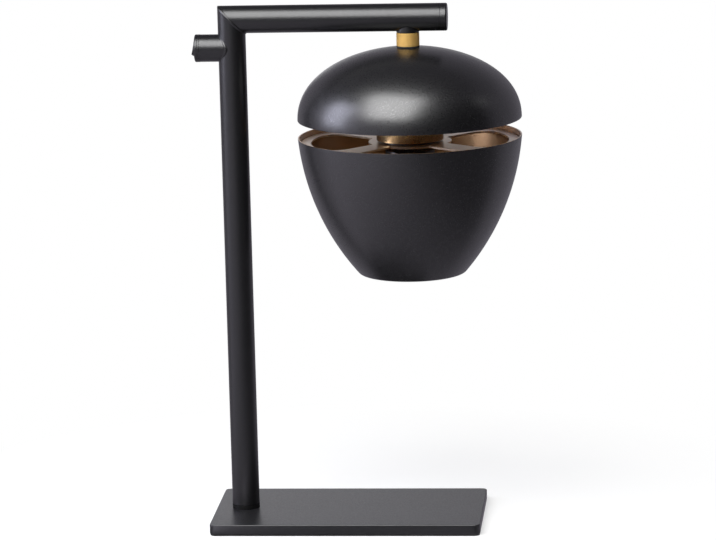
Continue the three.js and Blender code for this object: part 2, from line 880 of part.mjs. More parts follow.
// The bowl in section: its side, a round lower edge and a flat lip that turns inwards.
function bowlLine(inset) {
  const { rim, turn, centre } = bowlSide();
  const [from, to] = [rim.clone().sub(centre).angle(), turn.clone().sub(centre).angle()];
  const start = from > Math.PI ? from - Math.PI * 2 : from;
  const end = to - Math.PI * 2;
  const side = arc(centre.toArray(), bowl.sideRadius - inset, start, end, steps.bowlSide);
  const edgeCentre = turn.clone().sub(centre).setLength(bowl.sideRadius - bowl.edgeRound).add(centre);
  const edge = arc(
    edgeCentre.toArray(),
    bowl.edgeRound - inset,
    end,
    -Math.PI / 2,
    steps.bowlEdge,
  );
  const lip = [edgeCentre.x - bowl.lipWidth, edgeCentre.y - bowl.edgeRound + inset];
  return [...side, ...edge.slice(1), lip];
}

function bowlShape() {
  const outer = bowlLine(0);
  const inner = bowlLine(bowl.wall).reverse();
  const rim = inner[inner.length - 1];
  rim[1] = bowlRim;
  return turned([...outer, ...inner, outer[0]], sides.shade);
}

// A window of the spider between two spokes, about the +X axis, with round corners.
function windowPoints(inner, outer) {
  const half = spider.spokeWidth / 2;
  const corner = (radius, fillet) => {
    const off = half + fillet;
    const run = Math.sqrt(radius * radius - off * off);
    return new THREE.Vector2(run + off, run - off).multiplyScalar(Math.SQRT1_2);
  };
  const far = corner(outer - spider.outerFillet, spider.outerFillet);
  const near = corner(inner + spider.innerFillet, spider.innerFillet);
  const upright = Math.PI * 0.75;
  const upper = [
    ...arc([0, 0], outer, 0, far.angle(), steps.round),
    ...arc(far.toArray(), spider.outerFillet, far.angle(), upright, steps.round * 2).slice(1),
    ...arc(near.toArray(), spider.innerFillet, upright, Math.PI + near.angle(), steps.round),
    ...arc([0, 0], inner, near.angle(), 0, steps.round).slice(1),
  ];
  const lower = upper.slice(1, -1).reverse();
  return [...upper, ...lower.map(([x, y]) => [x, -y])];
}

function spiderShape() {
  const outer = bowlRoom(spiderTop - spider.thickness) - gap * 2;
  const shape = new THREE.Shape();
  shape.absarc(0, 0, outer, 0, Math.PI * 2);
  const hole = new THREE.Path();
  hole.absarc(0, 0, holder.skirtDiameter / 2 + gap, 0, Math.PI * 2);
  shape.holes.push(hole);
  const outline = windowPoints(spider.hubDiameter / 2, outer - spider.ringWidth);
  for (let i = 0; i < spider.windows; i++) {
    const angle = (i / spider.windows) * Math.PI * 2;
    const centre = new THREE.Vector2();
    const turnedPoints = outline.map(([x, y]) => new THREE.Vector2(x, y).rotateAround(centre, angle));
    shape.holes.push(new THREE.Path(turnedPoints));
  }
  return new THREE.ExtrudeGeometry(shape, {
    depth: spider.thickness,
    bevelEnabled: false,
    curveSegments: sides.shade / 2,
  });
}

function cupShape(low, top) {
  const radius = cup.diameter / 2;
  const { wall, shoulderRound } = cup;
  const shoulder = [radius - shoulderRound, top - shoulderRound];
  const profile = [
    [radius, low],
    ...arc(shoulder, shoulderRound, 0, Math.PI / 2, steps.round),
    [nippleHole, top],
    [nippleHole, top - wall],
    ...arc(shoulder, shoulderRound - wall, Math.PI / 2, 0, steps.round),
    [radius - wall, low],
    [radius, low],
  ];
  return turned(profile, sides.tube);
}

function makeShade(lamp) {
  const shade = groupAt(lamp, columnX + shadeReach, 0, 0);
  const seal = ring(nippleHole, domeWasher.diameter / 2, 0, domeWasher.thickness, sides.tube);
  addPiece(groupAt(shade, 0, 0, domeTop), "dome_washer", seal, finish.rubber);
  addPiece(shade, "dome", domeShape(), finish.blackPaint);
  addPiece(shade, "bowl", bowlShape(), finish.blackPaint);
  const plate = groupAt(shade, 0, 0, spiderTop - spider.thickness);
  plate.rotation.z = THREE.MathUtils.degToRad(spider.turn);
  addPiece(plate, "spider", spiderShape(), finish.bronze);

  const ceiling = domeTop - dome.wall;
  const cupTop = ceiling - cup.topDrop;
  const spacer = ring(nippleHole, cupSpacer.diameter / 2, cupTop, ceiling - gap * 2, sides.small);
  addPiece(shade, "cup_spacer", spacer, finish.steel);
  addPiece(shade, "socket_cup", cupShape(spiderTop + cup.lift, cupTop), finish.bronze);
  const nutTop = cupTop - cup.wall;
  const below = groupAt(shade, 0, 0, nutTop - cupNut.thickness);
  addPiece(below, "cup_nut", nut(cupNut), finish.steel);
}

// The lamp holder. Heights are from the spider's upper face.
function holderBody() {
  const skirt = holder.skirtDiameter / 2;
  const flange = holder.flangeDiameter / 2;
  const body = holder.bodyDiameter / 2;
  const bore = holder.bore / 2;
  const profile = [
    [bore, -holder.skirtDrop],
    [skirt, -holder.skirtDrop],
    [skirt, 0],
    [flange, 0],
    [flange, holder.flangeThickness],
    [body, holder.flangeThickness],
    [body, holder.bodyHeight],
    [bore, holder.bodyHeight],
    [bore, -holder.skirtDrop],
  ];
  return turned(profile, sides.tube);
}

function holderCapShape() {
  const { height, shoulderHeight, neckHeight, wall } = holderCap;
  const low = holder.bodyHeight;
  const radius = holder.bodyDiameter / 2;
  const neck = holderCap.neckDiameter / 2;
  const profile = [
    [radius, low],
    [radius, shoulderHeight],
    [neck, neckHeight],
    [neck, height],
    [nippleHole, height],
    [nippleHole, neckHeight],
    [neck, neckHeight - wall * 2],
    [radius - wall, shoulderHeight - wall],
    [radius - wall, low],
    [radius, low],
  ];
  return turned(profile, sides.tube);
}

function ringNutShape() {
  const inner = holder.skirtDiameter / 2 + gap;
  const outer = ringNut.diameter / 2;
  const { thickness, chamfer } = ringNut;
  const profile = [
    [inner, 0],
    [outer - chamfer, 0],
    [outer, chamfer],
    [outer, thickness],
    [inner, thickness],
    [inner, 0],
  ];
  return turned(profile, sides.tube);
}

function makeHolder(lamp) {
  const unit = groupAt(lamp, columnX + shadeReach, 0, spiderTop);
  addPiece(unit, "holder_body", holderBody(), finish.blackPlastic);
  addPiece(unit, "holder_cap", holderCapShape(), finish.blackPlastic);
  const insertRadius = holder.bore / 2 - gap;
  const core = rod(insertRadius, insert.height, insertTop - spiderTop, sides.small);
  addPiece(unit, "holder_insert", core, finish.ceramic);
  const shellRadius = shell.diameter / 2;
  const shellLow = shell.top - shell.length;
  const sleeve = ring(shellRadius - shell.wall, shellRadius, shellLow, shell.top, sides.tube);
  addPiece(unit, "screw_shell", sleeve, finish.brass);
  const contactTop = insert.height - gap;
  const { length, width, thickness } = centreContact;
  const strip = bar(length, width, contactTop - thickness, contactTop);
  addPiece(unit, "centre_contact", strip, finish.brass);
  const nutLow = -spider.thickness - gap - ringNut.thickness;
  addPiece(groupAt(unit, 0, 0, nutLow), "ring_nut", ringNutShape(), finish.blackPlastic);
}

// The bulb: a screw cap, a white housing and an opal globe. Heights are from the spider too.
function bulbCap() {
  const radius = bulb.capDiameter / 2;
  const low = bulb.capTop - bulb.capLength;
  const pitch = (bulb.capLength * 2) / 3 / bulb.threadTurns;
  const profile = [
    [0, low],
    [radius, low],
  ];
  const threadTop = bulb.capTop - pitch;
  for (let i = bulb.threadTurns; i > 0; i--) {
    profile.push([radius - bulb.threadDepth, threadTop - i * pitch]);
    profile.push([radius, threadTop - i * pitch + pitch / 2]);
  }
  profile.push([radius - bulb.threadDepth, threadTop]);
  profile.push([bulb.capNeck / 2, bulb.capTop], [0, bulb.capTop]);
  return turned(profile, sides.small);
}

function bulbHousing(top, low) {
  const profile = [
    [0, low],
    [bulb.housingDiameter / 2, low],
    [bulb.capDiameter / 2, top],
    [0, top],
  ];
  return turned(profile, sides.tube);
}

// An open-topped ball that meets the housing where it is as wide.
function bulbGlobe(top) {
  const radius = bulb.globeDiameter / 2;
  const mouth = Math.acos(bulb.housingDiameter / bulb.globeDiameter);
  const centre = [0, top - radius * Math.sin(mouth)];
  const outer = arc(centre, radius, mouth, -Math.PI / 2, steps.globe);
  const inner = arc(centre, radius - bulb.globeWall, -Math.PI / 2, mouth, steps.globe);
  return turned([[0, centre[1] - radius], ...outer.reverse(), ...inner.reverse()], sides.tube);
}

function makeBulb(lamp) {
  const unit = groupAt(lamp, columnX + shadeReach, 0, spiderTop);
  const top = bulb.capTop + gap + bulb.contactThickness;
  const button = rod(bulb.contactDiameter / 2, bulb.capTop + gap, top, sides.tiny);
  addPiece(unit, "bulb_contact", button, finish.brass);
  addPiece(unit, "bulb_cap", bulbCap(), finish.steel);
  const housingTop = bulb.capTop - bulb.capLength - gap;
  const housingLow = housingTop - bulb.housingLength;
  addPiece(unit, "bulb_housing", bulbHousing(housingTop, housingLow), finish.opal);
  addPiece(unit, "bulb_globe", bulbGlobe(housingLow - gap), finish.opal);
}

const lamp = new THREE.Group();
makeBase(lamp);
makeUpright(lamp);
makeArm(lamp);
makeSwitch(lamp);
makeWiring(lamp);
makeHanger(lamp);
makeShade(lamp);
makeHolder(lamp);
makeBulb(lamp);

export default lamp;
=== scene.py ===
"""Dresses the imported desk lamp: fine meshes, finishes, a pale floor, soft light and the camera.

Sizes are millimetres in the part's own frame. A mesh is brought to metres when its piece is made.
"""

import logging
import math
from collections.abc import Callable, Sequence
from dataclasses import dataclass
from enum import Enum

import bmesh
import bpy
from bmesh.types import BMEdge, BMesh, BMVert
from bpy.types import ID, Material, Node, NodeSocket, NodeTree, Object, World
from mathutils import Matrix, Vector


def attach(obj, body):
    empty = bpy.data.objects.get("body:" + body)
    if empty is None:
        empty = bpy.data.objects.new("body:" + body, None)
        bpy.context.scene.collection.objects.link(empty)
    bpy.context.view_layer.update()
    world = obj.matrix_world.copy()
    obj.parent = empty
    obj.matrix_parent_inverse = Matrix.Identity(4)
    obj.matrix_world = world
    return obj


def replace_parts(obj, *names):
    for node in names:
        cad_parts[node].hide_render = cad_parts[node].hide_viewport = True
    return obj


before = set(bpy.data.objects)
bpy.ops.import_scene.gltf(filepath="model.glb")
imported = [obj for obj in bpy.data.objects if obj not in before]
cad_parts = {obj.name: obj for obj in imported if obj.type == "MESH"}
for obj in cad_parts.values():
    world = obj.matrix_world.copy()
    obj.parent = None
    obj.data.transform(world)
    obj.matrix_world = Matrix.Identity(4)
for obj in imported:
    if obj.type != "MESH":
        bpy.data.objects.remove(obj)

MM = 0.001
FULL_TURN = math.tau
QUARTER_TURN = math.pi / 2
WELD = 0.0005  # points closer than this are one point
GAP = 0.3  # from a piece to the seat that is cut for it
OVERRUN = 2.0  # how far a cutter runs past what it cuts
SHARP_ANGLE = math.radians(32)  # edges that turn more than this shade as edges

# How far edges are rounded, from cut rubber to thick mouldings.
HAIR_EDGE = 0.15
FINE_EDGE = 0.2
SMALL_EDGE = 0.3
LARGE_EDGE = 0.5

# How many sides round shapes have: most pieces, tubes, what cuts a wide seat, and small pins.
SIDES = 96
TUBE_SIDES = 128
SEAT_SIDES = 192
PIN_SIDES = 32

Profile = list[tuple[float, float]]
Section = tuple[tuple[float, float], ...]
Colour = tuple[float, float, float, float]

log = logging.getLogger("desk_lamp")


class Axis(Enum):
    """Which way a shape that was made along +Z is turned to point."""

    X = "x"
    Y = "y"
    Z = "z"

    def turn(self) -> Matrix:
        """Finds the turn that points +Z along this axis.

        Returns:
            The rotation.
        """
        if self is Axis.X:
            return Matrix.Rotation(QUARTER_TURN, 4, "Y")
        if self is Axis.Y:
            return Matrix.Rotation(-QUARTER_TURN, 4, "X")
        return Matrix.Identity(4)


class Boolean(Enum):
    """How a tool works on a body."""

    CUT = "DIFFERENCE"
    JOIN = "UNION"
    WITHIN = "INTERSECT"


@dataclass(frozen=True)
class Datum:
    """The lines, planes and radii that the sub-assemblies share."""

    column_x: float = -85.1
    shade_x: float = 55.1
    base_top: float = 9.2
    arm_height: float = 408.7
    stub_height: float = 386.0
    spider_top: float = 309.9
    tube_radius: float = 11.0
    tube_bore: float = 10.0
    nipple_hole: float = 5.3
    hanger_radius: float = 9.1  # the bush, the collar and the washer under it
    collar_low: float = 385.9
    skirt_radius: float = 19.9  # the lamp holder's, which the spider and its nut go round
    bolt_hole: float = 4.3

    @property
    def spigot(self) -> float:
        """The radius of what fits in the tube."""
        return self.tube_bore - GAP

    def column_axis(self, height: float = 0.0) -> Vector:
        """Returns the point of the upright's axis at a height."""
        return Vector((self.column_x, 0, height))

    def shade_axis(self, height: float = 0.0) -> Vector:
        """Returns the point of the shade's axis at a height."""
        return Vector((self.shade_x, 0, height))


DATUM = Datum()


# Mesh work. Every shape below is one closed body in millimetres.


def outward(mesh: BMesh) -> BMesh:
    """Merges a mesh's doubles and points its faces out.

    Args:
        mesh: one closed body.

    Returns:
        The same mesh.
    """
    bmesh.ops.remove_doubles(mesh, verts=mesh.verts, dist=WELD)
    bmesh.ops.dissolve_degenerate(mesh, edges=mesh.edges, dist=WELD)
    bmesh.ops.recalc_face_normals(mesh, faces=mesh.faces)
    if mesh.calc_volume(signed=True) < 0:
        bmesh.ops.reverse_faces(mesh, faces=mesh.faces)
    return mesh


def spun(profile: Profile, sides: int = SIDES, closed: bool = True) -> BMesh:
    """Turns a profile about +Z.

    Args:
        profile: (radius, height) points.
        sides: how many steps the turn has.
        closed: whether the last point joins the first. A profile that starts and ends on the
            axis stays open.

    Returns:
        The turned body.
    """
    mesh = bmesh.new()
    points = [mesh.verts.new((radius, 0, height)) for radius, height in profile]
    ends = points[1:] + points[:1] if closed else points[1:]
    line = points + [mesh.edges.new(pair) for pair in zip(points, ends)]
    turn = {"cent": (0, 0, 0), "axis": (0, 0, 1), "angle": FULL_TURN, "steps": sides}
    bmesh.ops.spin(mesh, geom=line, use_merge=True, use_duplicate=False, **turn)
    return outward(mesh)


def tube(inner: float, outer: float, low: float, high: float, sides: int = SIDES) -> BMesh:
    """Returns a ring of that wall between two heights."""
    return spun([(inner, low), (outer, low), (outer, high), (inner, high)], sides)


def rod(radius: float, low: float, high: float, sides: int = SIDES) -> BMesh:
    """Makes a round bar about +Z.

    Args:
        radius: of the bar.
        low: the height of its lower end.
        high: the height of its upper end.
        sides: how many it has.

    Returns:
        The bar.
    """
    mesh = bmesh.new()
    place = Matrix.Translation((0, 0, (low + high) / 2))
    ends = {"cap_ends": True, "radius1": radius, "radius2": radius}
    bmesh.ops.create_cone(mesh, segments=sides, depth=high - low, matrix=place, **ends)
    return mesh


def block(low: Sequence[float], high: Sequence[float]) -> BMesh:
    """Makes a square block.

    Args:
        low: its lowest corner.
        high: its highest corner.

    Returns:
        The block.
    """
    low_corner, high_corner = Vector(low), Vector(high)
    size = high_corner - low_corner
    place = Matrix.Translation((low_corner + high_corner) / 2)
    mesh = bmesh.new()
    bmesh.ops.create_cube(mesh, size=1, matrix=place @ Matrix.Diagonal((*size, 1)))
    return mesh


def arc(centre: Sequence[float], radius: float, start: float, end: float, steps: int) -> Profile:
    """Returns the points of an arc in a profile, its ends included."""
    turns = [start + (end - start) * step / steps for step in range(steps + 1)]
    return [(centre[0] + radius * math.cos(t), centre[1] + radius * math.sin(t)) for t in turns]


def placed(mesh: BMesh, place: Sequence[float], axis: Axis = Axis.Z, tilt: float = 0.0) -> BMesh:
    """Turns a mesh to an axis, tilts it about +Y and moves it.

    Args:
        mesh: the shape, made along +Z about the origin.
        place: where the origin goes.
        axis: where +Z points after the turn.
        tilt: a further turn about +Y, in radians.

    Returns:
        The same mesh.
    """
    matrix = Matrix.Translation(Vector(place)) @ Matrix.Rotation(tilt, 4, "Y") @ axis.turn()
    bmesh.ops.transform(mesh, matrix=matrix, verts=mesh.verts)
    return mesh


def turned(mesh: BMesh, angle: float) -> BMesh:
    """Turns a mesh about +Z, by radians, and returns it."""
    bmesh.ops.transform(mesh, matrix=Matrix.Rotation(angle, 4, "Z"), verts=mesh.verts)
    return mesh


def eased(
    mesh: BMesh, width: float, segments: int = 3, pick: Callable[[BMEdge], bool] | None = None
) -> BMesh:
    """Rounds a mesh's sharp edges.

    Args:
        mesh: the body.
        width: how far the round reaches from the edge.
        segments: its steps.
        pick: says which of the sharp edges are rounded. Without it, all are.

    Returns:
        The same mesh.
    """
    edges = [
        edge
        for edge in mesh.edges
        if edge.is_manifold and edge.calc_face_angle() > SHARP_ANGLE and (not pick or pick(edge))
    ]
    bmesh.ops.bevel(
        mesh,
        geom=edges,
        offset=width,
        offset_type="OFFSET",
        segments=segments,
        profile=0.5,
        affect="EDGES",
        clamp_overlap=True,
        material=-1,
    )
    return mesh


def at_level(level: float) -> Callable[[BMEdge], bool]:
    """Returns a test of whether an edge lies at a height."""
    return lambda edge: all(abs(point.co.z - level) < GAP for point in edge.verts)


def add_object(name: str, data: ID) -> Object:
    """Adds an object to the scene.

    Args:
        name: what it is called.
        data: what it holds: a mesh, a lamp or a camera.

    Returns:
        The object.
    """
    item = bpy.data.objects.new(name, data)
    bpy.context.scene.collection.objects.link(item)
    return item


def loose_object(name: str, mesh: BMesh) -> Object:
    """Puts a mesh in an object in the scene, and frees the mesh.

    Args:
        name: what the object is called.
        mesh: the mesh. It is used up.

    Returns:
        The object.
    """
    data = bpy.data.meshes.new(name)
    mesh.to_mesh(data)
    mesh.free()
    return add_object(name, data)


def combined(body: BMesh, how: Boolean, *tools: BMesh) -> BMesh:
    """Cuts, joins or limits a body with tools.

    Args:
        body: the body. It is used up.
        how: what each tool does to it.
        tools: the tools. They are used up.

    Returns:
        A new mesh.
    """
    for tool in tools:
        items = [loose_object("body_in_work", body), loose_object("tool_in_work", tool)]
        modifier = items[0].modifiers.new("work", "BOOLEAN")
        modifier.operation = how.value
        modifier.object = items[1]
        modifier.solver = "EXACT"
        body = bmesh.new()
        body.from_object(items[0], bpy.context.evaluated_depsgraph_get())
        for item in items:
            data = item.data
            bpy.data.objects.remove(item)
            bpy.data.meshes.remove(data)
    bmesh.ops.remove_doubles(body, verts=body.verts, dist=WELD)
    return body


def bead(line: Sequence[Vector], sizes: Sequence[float], sides: int = 12) -> BMesh:
    """Returns a round weld bead that runs along a closed line.

    Args:
        line: points in order round the middle of the line.
        sizes: the bead's radius at each point.
        sides: of its section.

    Returns:
        The bead.
    """
    mesh = bmesh.new()
    middle = sum(line, Vector()) / len(line)
    turns = [FULL_TURN * side / sides for side in range(sides)]
    rings = []
    for step, (point, size) in enumerate(zip(line, sizes)):
        along = (line[(step + 1) % len(line)] - line[step - 1]).normalized()
        across = along.cross(point - middle).normalized()
        out = across.cross(along)
        offsets = [(out * math.cos(turn) + across * math.sin(turn)) * size for turn in turns]
        rings.append([mesh.verts.new(point + offset) for offset in offsets])
    for ring, last in zip(rings, [rings[-1], *rings]):
        for side in range(sides):
            mesh.faces.new((last[side - 1], last[side], ring[side], ring[side - 1]))
    return outward(mesh)


def split(mesh: BMesh, place: Vector, square: Vector, clear: bool = False) -> list[BMEdge]:
    """Adds edges where a plane crosses a mesh.

    Args:
        mesh: the mesh.
        place: a point of the plane.
        square: its normal.
        clear: whether what lies on the normal's side goes.

    Returns:
        The new edges.
    """
    plane = {"plane_co": place, "plane_no": square, "clear_outer": clear}
    everything = mesh.verts[:] + mesh.edges[:] + mesh.faces[:]
    found = bmesh.ops.bisect_plane(mesh, geom=everything, dist=WELD, **plane)
    return [item for item in found["geom_cut"] if isinstance(item, BMEdge)]


def ringed(mesh: BMesh, along: Vector, middle: float, margin: float) -> None:
    """Adds rings of edges to a tube through a hole's middle and past both its sides.

    They keep the tube's long faces out of the hole's cut.

    Args:
        mesh: the tube.
        along: its direction.
        middle: how far along the hole lies.
        margin: from there to the rings past its sides.
    """
    for level in (middle - margin, middle, middle + margin):
        split(mesh, along * level, along)


def mitred(mesh: BMesh, side: int) -> BMesh:
    """Cuts a tube off at the mitre, closes its wall there and eases the new edges.

    Args:
        mesh: the tube of the upright or the arm, one closed wall.
        side: 1 takes away what is above and right of the mitre, -1 the rest.

    Returns:
        The same mesh.
    """
    outside = side * Vector((1, 0, 1)).normalized()
    corner = DATUM.column_axis(DATUM.arm_height) - outside * (GAP / 2)
    bmesh.ops.bridge_loops(mesh, edges=split(mesh, corner, outside, clear=True))
    outward(mesh)

    def on_cut(edge: BMEdge) -> bool:
        """Says whether an edge lies on the cut."""
        return all(abs((point.co - corner).dot(outside)) < GAP / 2 for point in edge.verts)

    return eased(mesh, SMALL_EDGE, 2, on_cut)


# Finishes.


def srgb(code: str) -> Colour:
    """Turns an sRGB colour to a linear one.

    Args:
        code: its hex value, such as 1a2b3c.

    Returns:
        The linear colour, with an alpha of 1.
    """
    shares = [int(code[place : place + 2], 16) / 255 for place in (0, 2, 4)]
    red, green, blue = (
        share / 12.92 if share <= 0.04045 else ((share + 0.055) / 1.055) ** 2.4
        for share in shares
    )
    return (red, green, blue, 1.0)


def per_metre(size: float) -> float:
    """Returns the scale of a pattern whose marks are that many millimetres."""
    return 1 / (size * MM)


def emptied(owner: Material | World) -> NodeTree:
    """Turns on the nodes of a material or a world, and clears them.

    Args:
        owner: the material or world.

    Returns:
        Its node tree, with nothing in it.
    """
    owner.use_nodes = True
    owner.node_tree.nodes.clear()
    return owner.node_tree


def add_node(
    tree: NodeTree, kind: str, inputs: dict[str | int, object] | None = None, **settings: object
) -> Node:
    """Adds a node.

    Args:
        tree: where it goes.
        kind: Blender's name for it, without ShaderNode.
        inputs: by name or number, what feeds each input: an output socket, or a value.
        settings: its other settings.

    Returns:
        The node.
    """
    node = tree.nodes.new("ShaderNode" + kind)
    for name, value in settings.items():
        setattr(node, name, value)
    for key, value in (inputs or {}).items():
        if isinstance(value, NodeSocket):
            tree.links.new(value, node.inputs[key])
        else:
            node.inputs[key].default_value = value
    return node


@dataclass(frozen=True)
class Finish:
    """A surface. Its pattern is laid out in millimetres about a centre."""

    name: str
    colour: str
    shade: str  # the darker or lighter colour that its pattern brings in
    roughness: float
    metallic: float = 0.0
    ior: float = 1.5
    mottle: float = 30.0  # how wide the slow changes are
    mottle_share: float = 0.25  # how much of the second colour they bring in
    grit: float = 0.7  # how wide the finest marks are
    grit_depth: float = 0.01
    gloss_change: float = 0.05  # how far roughness strays
    lines: float = 0.0  # spacing of turned lines, or none
    line_depth: float = 0.0
    coat: float = 0.0  # share of clear lacquer over the colour
    centre: tuple[float, float, float] = (0.0, 0.0, 0.0)

    def material(self) -> Material:
        """Makes the finish's material, or finds the one that was made.

        Returns:
            The material.
        """
        known = bpy.data.materials.get(self.name)
        if known:
            return known
        made = bpy.data.materials.new(self.name)
        tree = emptied(made)
        shader = add_node(tree, "BsdfPrincipled", self.constants())
        self.dress(tree, shader)
        add_node(tree, "OutputMaterial", {"Surface": shader.outputs["BSDF"]})
        return made

    def constants(self) -> dict[str | int, object]:
        """Collects the shader's values that are the same all over the surface.

        Returns:
            The values, by the names of their inputs.
        """
        values: dict[str | int, object] = {"Metallic": self.metallic}
        if not self.metallic:
            values["IOR"] = self.ior
        if self.coat:
            values |= {"Coat Weight": self.coat, "Coat Roughness": self.roughness}
        return values

    def dress(self, tree: NodeTree, shader: Node) -> None:
        """Adds the pattern: slow mottling, fine grit, and turned lines where there are any.

        Args:
            tree: the material's nodes.
            shader: the node whose colour, roughness and normal the pattern feeds.
        """
        at_object = add_node(tree, "TexCoord").outputs["Object"]
        mapping = {"Vector": at_object, "Location": [-value * MM for value in self.centre]}
        place = add_node(tree, "Mapping", mapping).outputs["Vector"]
        mottle, grit = (
            add_node(tree, "TexNoise", {"Vector": place, "Scale": per_metre(width), "Detail": detail})
            for width, detail in ((self.mottle, 3.0), (self.grit, 1.0))
        )
        usual = {"From Min": 0.3, "From Max": 0.7}  # a noise rarely strays past these
        share = {"Value": mottle.outputs["Fac"], **usual, "To Max": self.mottle_share}
        # A Mix node takes its factor and its two colours at inputs 0, 6 and 7.
        colours = {
            0: add_node(tree, "MapRange", share).outputs["Result"],
            6: srgb(self.colour),
            7: srgb(self.shade),
        }
        tint = add_node(tree, "Mix", colours, data_type="RGBA").outputs[2]
        change = {
            "Value": grit.outputs["Fac"],
            **usual,
            "To Min": self.roughness - self.gloss_change,
            "To Max": self.roughness + self.gloss_change,
        }
        gloss = add_node(tree, "MapRange", change).outputs["Result"]
        bump = {"Height": grit.outputs["Fac"], "Distance": self.grit_depth * MM}
        normal = add_node(tree, "Bump", bump).outputs["Normal"]
        if self.lines:
            normal = self.turned_lines(tree, place, normal)
        tree.links.new(tint, shader.inputs["Base Color"])
        tree.links.new(gloss, shader.inputs["Roughness"])
        tree.links.new(normal, shader.inputs["Normal"])

    def turned_lines(self, tree: NodeTree, place: NodeSocket, normal: NodeSocket) -> NodeSocket:
        """Adds the fine rings that a lathe leaves about +Z.

        Args:
            tree: the material's nodes.
            place: the coordinates, about the axis.
            normal: the normal that the rings are laid on.

        Returns:
            The new normal.
        """
        level = {0: place, 1: (1.0, 1.0, 0.0)}
        flat = add_node(tree, "VectorMath", level, operation="MULTIPLY").outputs["Vector"]
        radius = add_node(tree, "VectorMath", {0: flat}, operation="LENGTH").outputs["Value"]
        parts = add_node(tree, "SeparateXYZ", {"Vector": place}).outputs
        section = add_node(tree, "CombineXYZ", {"X": radius, "Z": parts["Z"]}).outputs["Vector"]
        noise = {"Vector": section, "Scale": per_metre(self.lines), "Detail": 2.0}
        rings = add_node(tree, "TexNoise", noise).outputs["Fac"]
        bump = {"Height": rings, "Distance": self.line_depth * MM, "Normal": normal}
        return add_node(tree, "Bump", bump).outputs["Normal"]


# Stoved enamel on steel tube: sprayed and baked, so satin with a faint orange peel.
TUBE_ENAMEL = Finish(
    "black_stoved_enamel_on_tube", "060607", "0a0a0c", 0.34, ior=1.58, grit=0.9, grit_depth=0.014
)
# The same enamel over spun steel: the spinning's fine rings stay visible under it.
SHADE_ENAMEL = Finish(
    "black_stoved_enamel_on_spun_steel", "060607", "0a0a0c", 0.335, ior=1.7, grit=0.75,
    grit_depth=0.034, gloss_change=0.08, lines=0.9, line_depth=0.01,
    centre=(DATUM.shade_x, 0.0, 320.0),
)
# Matt paint on turned steel: a dead black that hardly takes a reflection.
PLUG_PAINT = Finish(
    "matt_black_paint_on_turned_steel", "040404", "070707", 0.6, ior=1.3, grit=0.5, grit_depth=0.01
)
# Powder coat on rolled plate: a little coarser and duller than the enamel.
PLATE_COAT = Finish(
    "black_powder_coat_on_steel_plate", "121214", "18181b", 0.38, ior=1.6, grit=0.8, grit_depth=0.02
)
# Bronze lacquer sprayed inside the spun shells: metal flake and pigment under a clear coat.
SHELL_LACQUER = Finish(
    "bronze_lacquer_inside_spun_steel", "bc925c", "9c7247", 0.33, metallic=0.7, grit=0.8,
    grit_depth=0.02, coat=1.0,
)
# The same lacquer in a paler shade on the pressed plate.
PRESSED_LACQUER = Finish(
    "pale_bronze_lacquer_on_pressed_steel", "eedbc0", "dcc6a4", 0.36, metallic=0.85, grit=0.9,
    grit_depth=0.01, coat=1.0,
)
# Bronze plate on drawn steel: smoother than the lacquer, so light runs over it.
DRAWN_BRONZE = Finish(
    "bronze_plated_drawn_steel", "cbb083", "b8996a", 0.28, metallic=1.0, mottle=12.0, grit=0.6,
    grit_depth=0.0004, gloss_change=0.015,
)
# Brass bar turned on a lathe, with fine rings, under a satin lacquer that scatters half the light.
TURNED_BRASS = Finish(
    "lathe_turned_brass_bar", "be9b58", "b48a45", 0.6, metallic=0.55, mottle=6.0, grit=0.5,
    grit_depth=0.004, lines=0.5, line_depth=0.06, centre=(DATUM.shade_x, 0.0, 390.0),
)
# ABS moulded against a finely eroded tool: an even fine grain, nearly as glossy as the enamel.
MOULDED_ABS = Finish(
    "moulded_black_abs", "070708", "0c0c0d", 0.36, ior=1.56, grit=0.5, grit_depth=0.008
)
# Phenolic moulded in a polished tool: hard, brown-black and fairly glossy.
MOULDED_PHENOLIC = Finish(
    "moulded_black_phenolic", "120f0d", "1d1713", 0.3, ior=1.6, grit=0.6, grit_depth=0.006
)
# Nitrile rubber sheet, cut with a knife: matt, with a fine dusty grain.
CUT_RUBBER = Finish(
    "cut_nitrile_rubber", "1a1a1a", "262626", 0.82, ior=1.52, grit=0.6, grit_depth=0.03
)
# Bright zinc plate on turned and pressed steel: pale, a little cloudy.
ZINC_PLATE = Finish(
    "bright_zinc_plated_steel", "b9bcc0", "9a9da2", 0.3, metallic=1.0, mottle=5.0, grit=0.4
)
# Brass strip as rolled and stamped, for contacts.
STAMPED_BRASS = Finish(
    "stamped_contact_brass", "d0a552", "b98c3c", 0.34, metallic=1.0, mottle=4.0, grit=0.4
)
# Steatite, dry pressed and fired: off-white, hardly glossy.
FIRED_STEATITE = Finish(
    "fired_steatite", "e4dfd2", "d6cfbf", 0.5, ior=1.6, mottle=3.0, grit=0.3, grit_depth=0.02
)
# PBT moulding of the bulb's housing: warm white and satin.
MOULDED_PBT = Finish(
    "moulded_white_pbt", "e6e3da", "dcd8cc", 0.4, ior=1.55, mottle=10.0, grit=0.5
)
# PVC insulation as extruded: smooth, slightly waxy.
BROWN_PVC = Finish("extruded_brown_pvc", "5e3a22", "4c2e1a", 0.45, ior=1.53, grit=0.5)
BLUE_PVC = Finish("extruded_blue_pvc", "2a579b", "204884", 0.45, ior=1.53, grit=0.5)


@dataclass(frozen=True)
class OpalFinish(Finish):
    """A milky plastic, in which light spreads before it comes out again."""

    spread: float = 4.0  # how far light goes in it
    spread_share: float = 0.6  # how much of the light does
    colour_shares: tuple[float, float, float] = (1.0, 0.95, 0.85)  # of red, green and blue

    def constants(self) -> dict[str | int, object]:
        """Adds those of the milky inside to the values of a plain surface.

        Returns:
            The values, by the names of their inputs.
        """
        return super().constants() | {
            "Subsurface Weight": self.spread_share,
            "Subsurface Radius": self.colour_shares,
            "Subsurface Scale": self.spread * MM,
        }


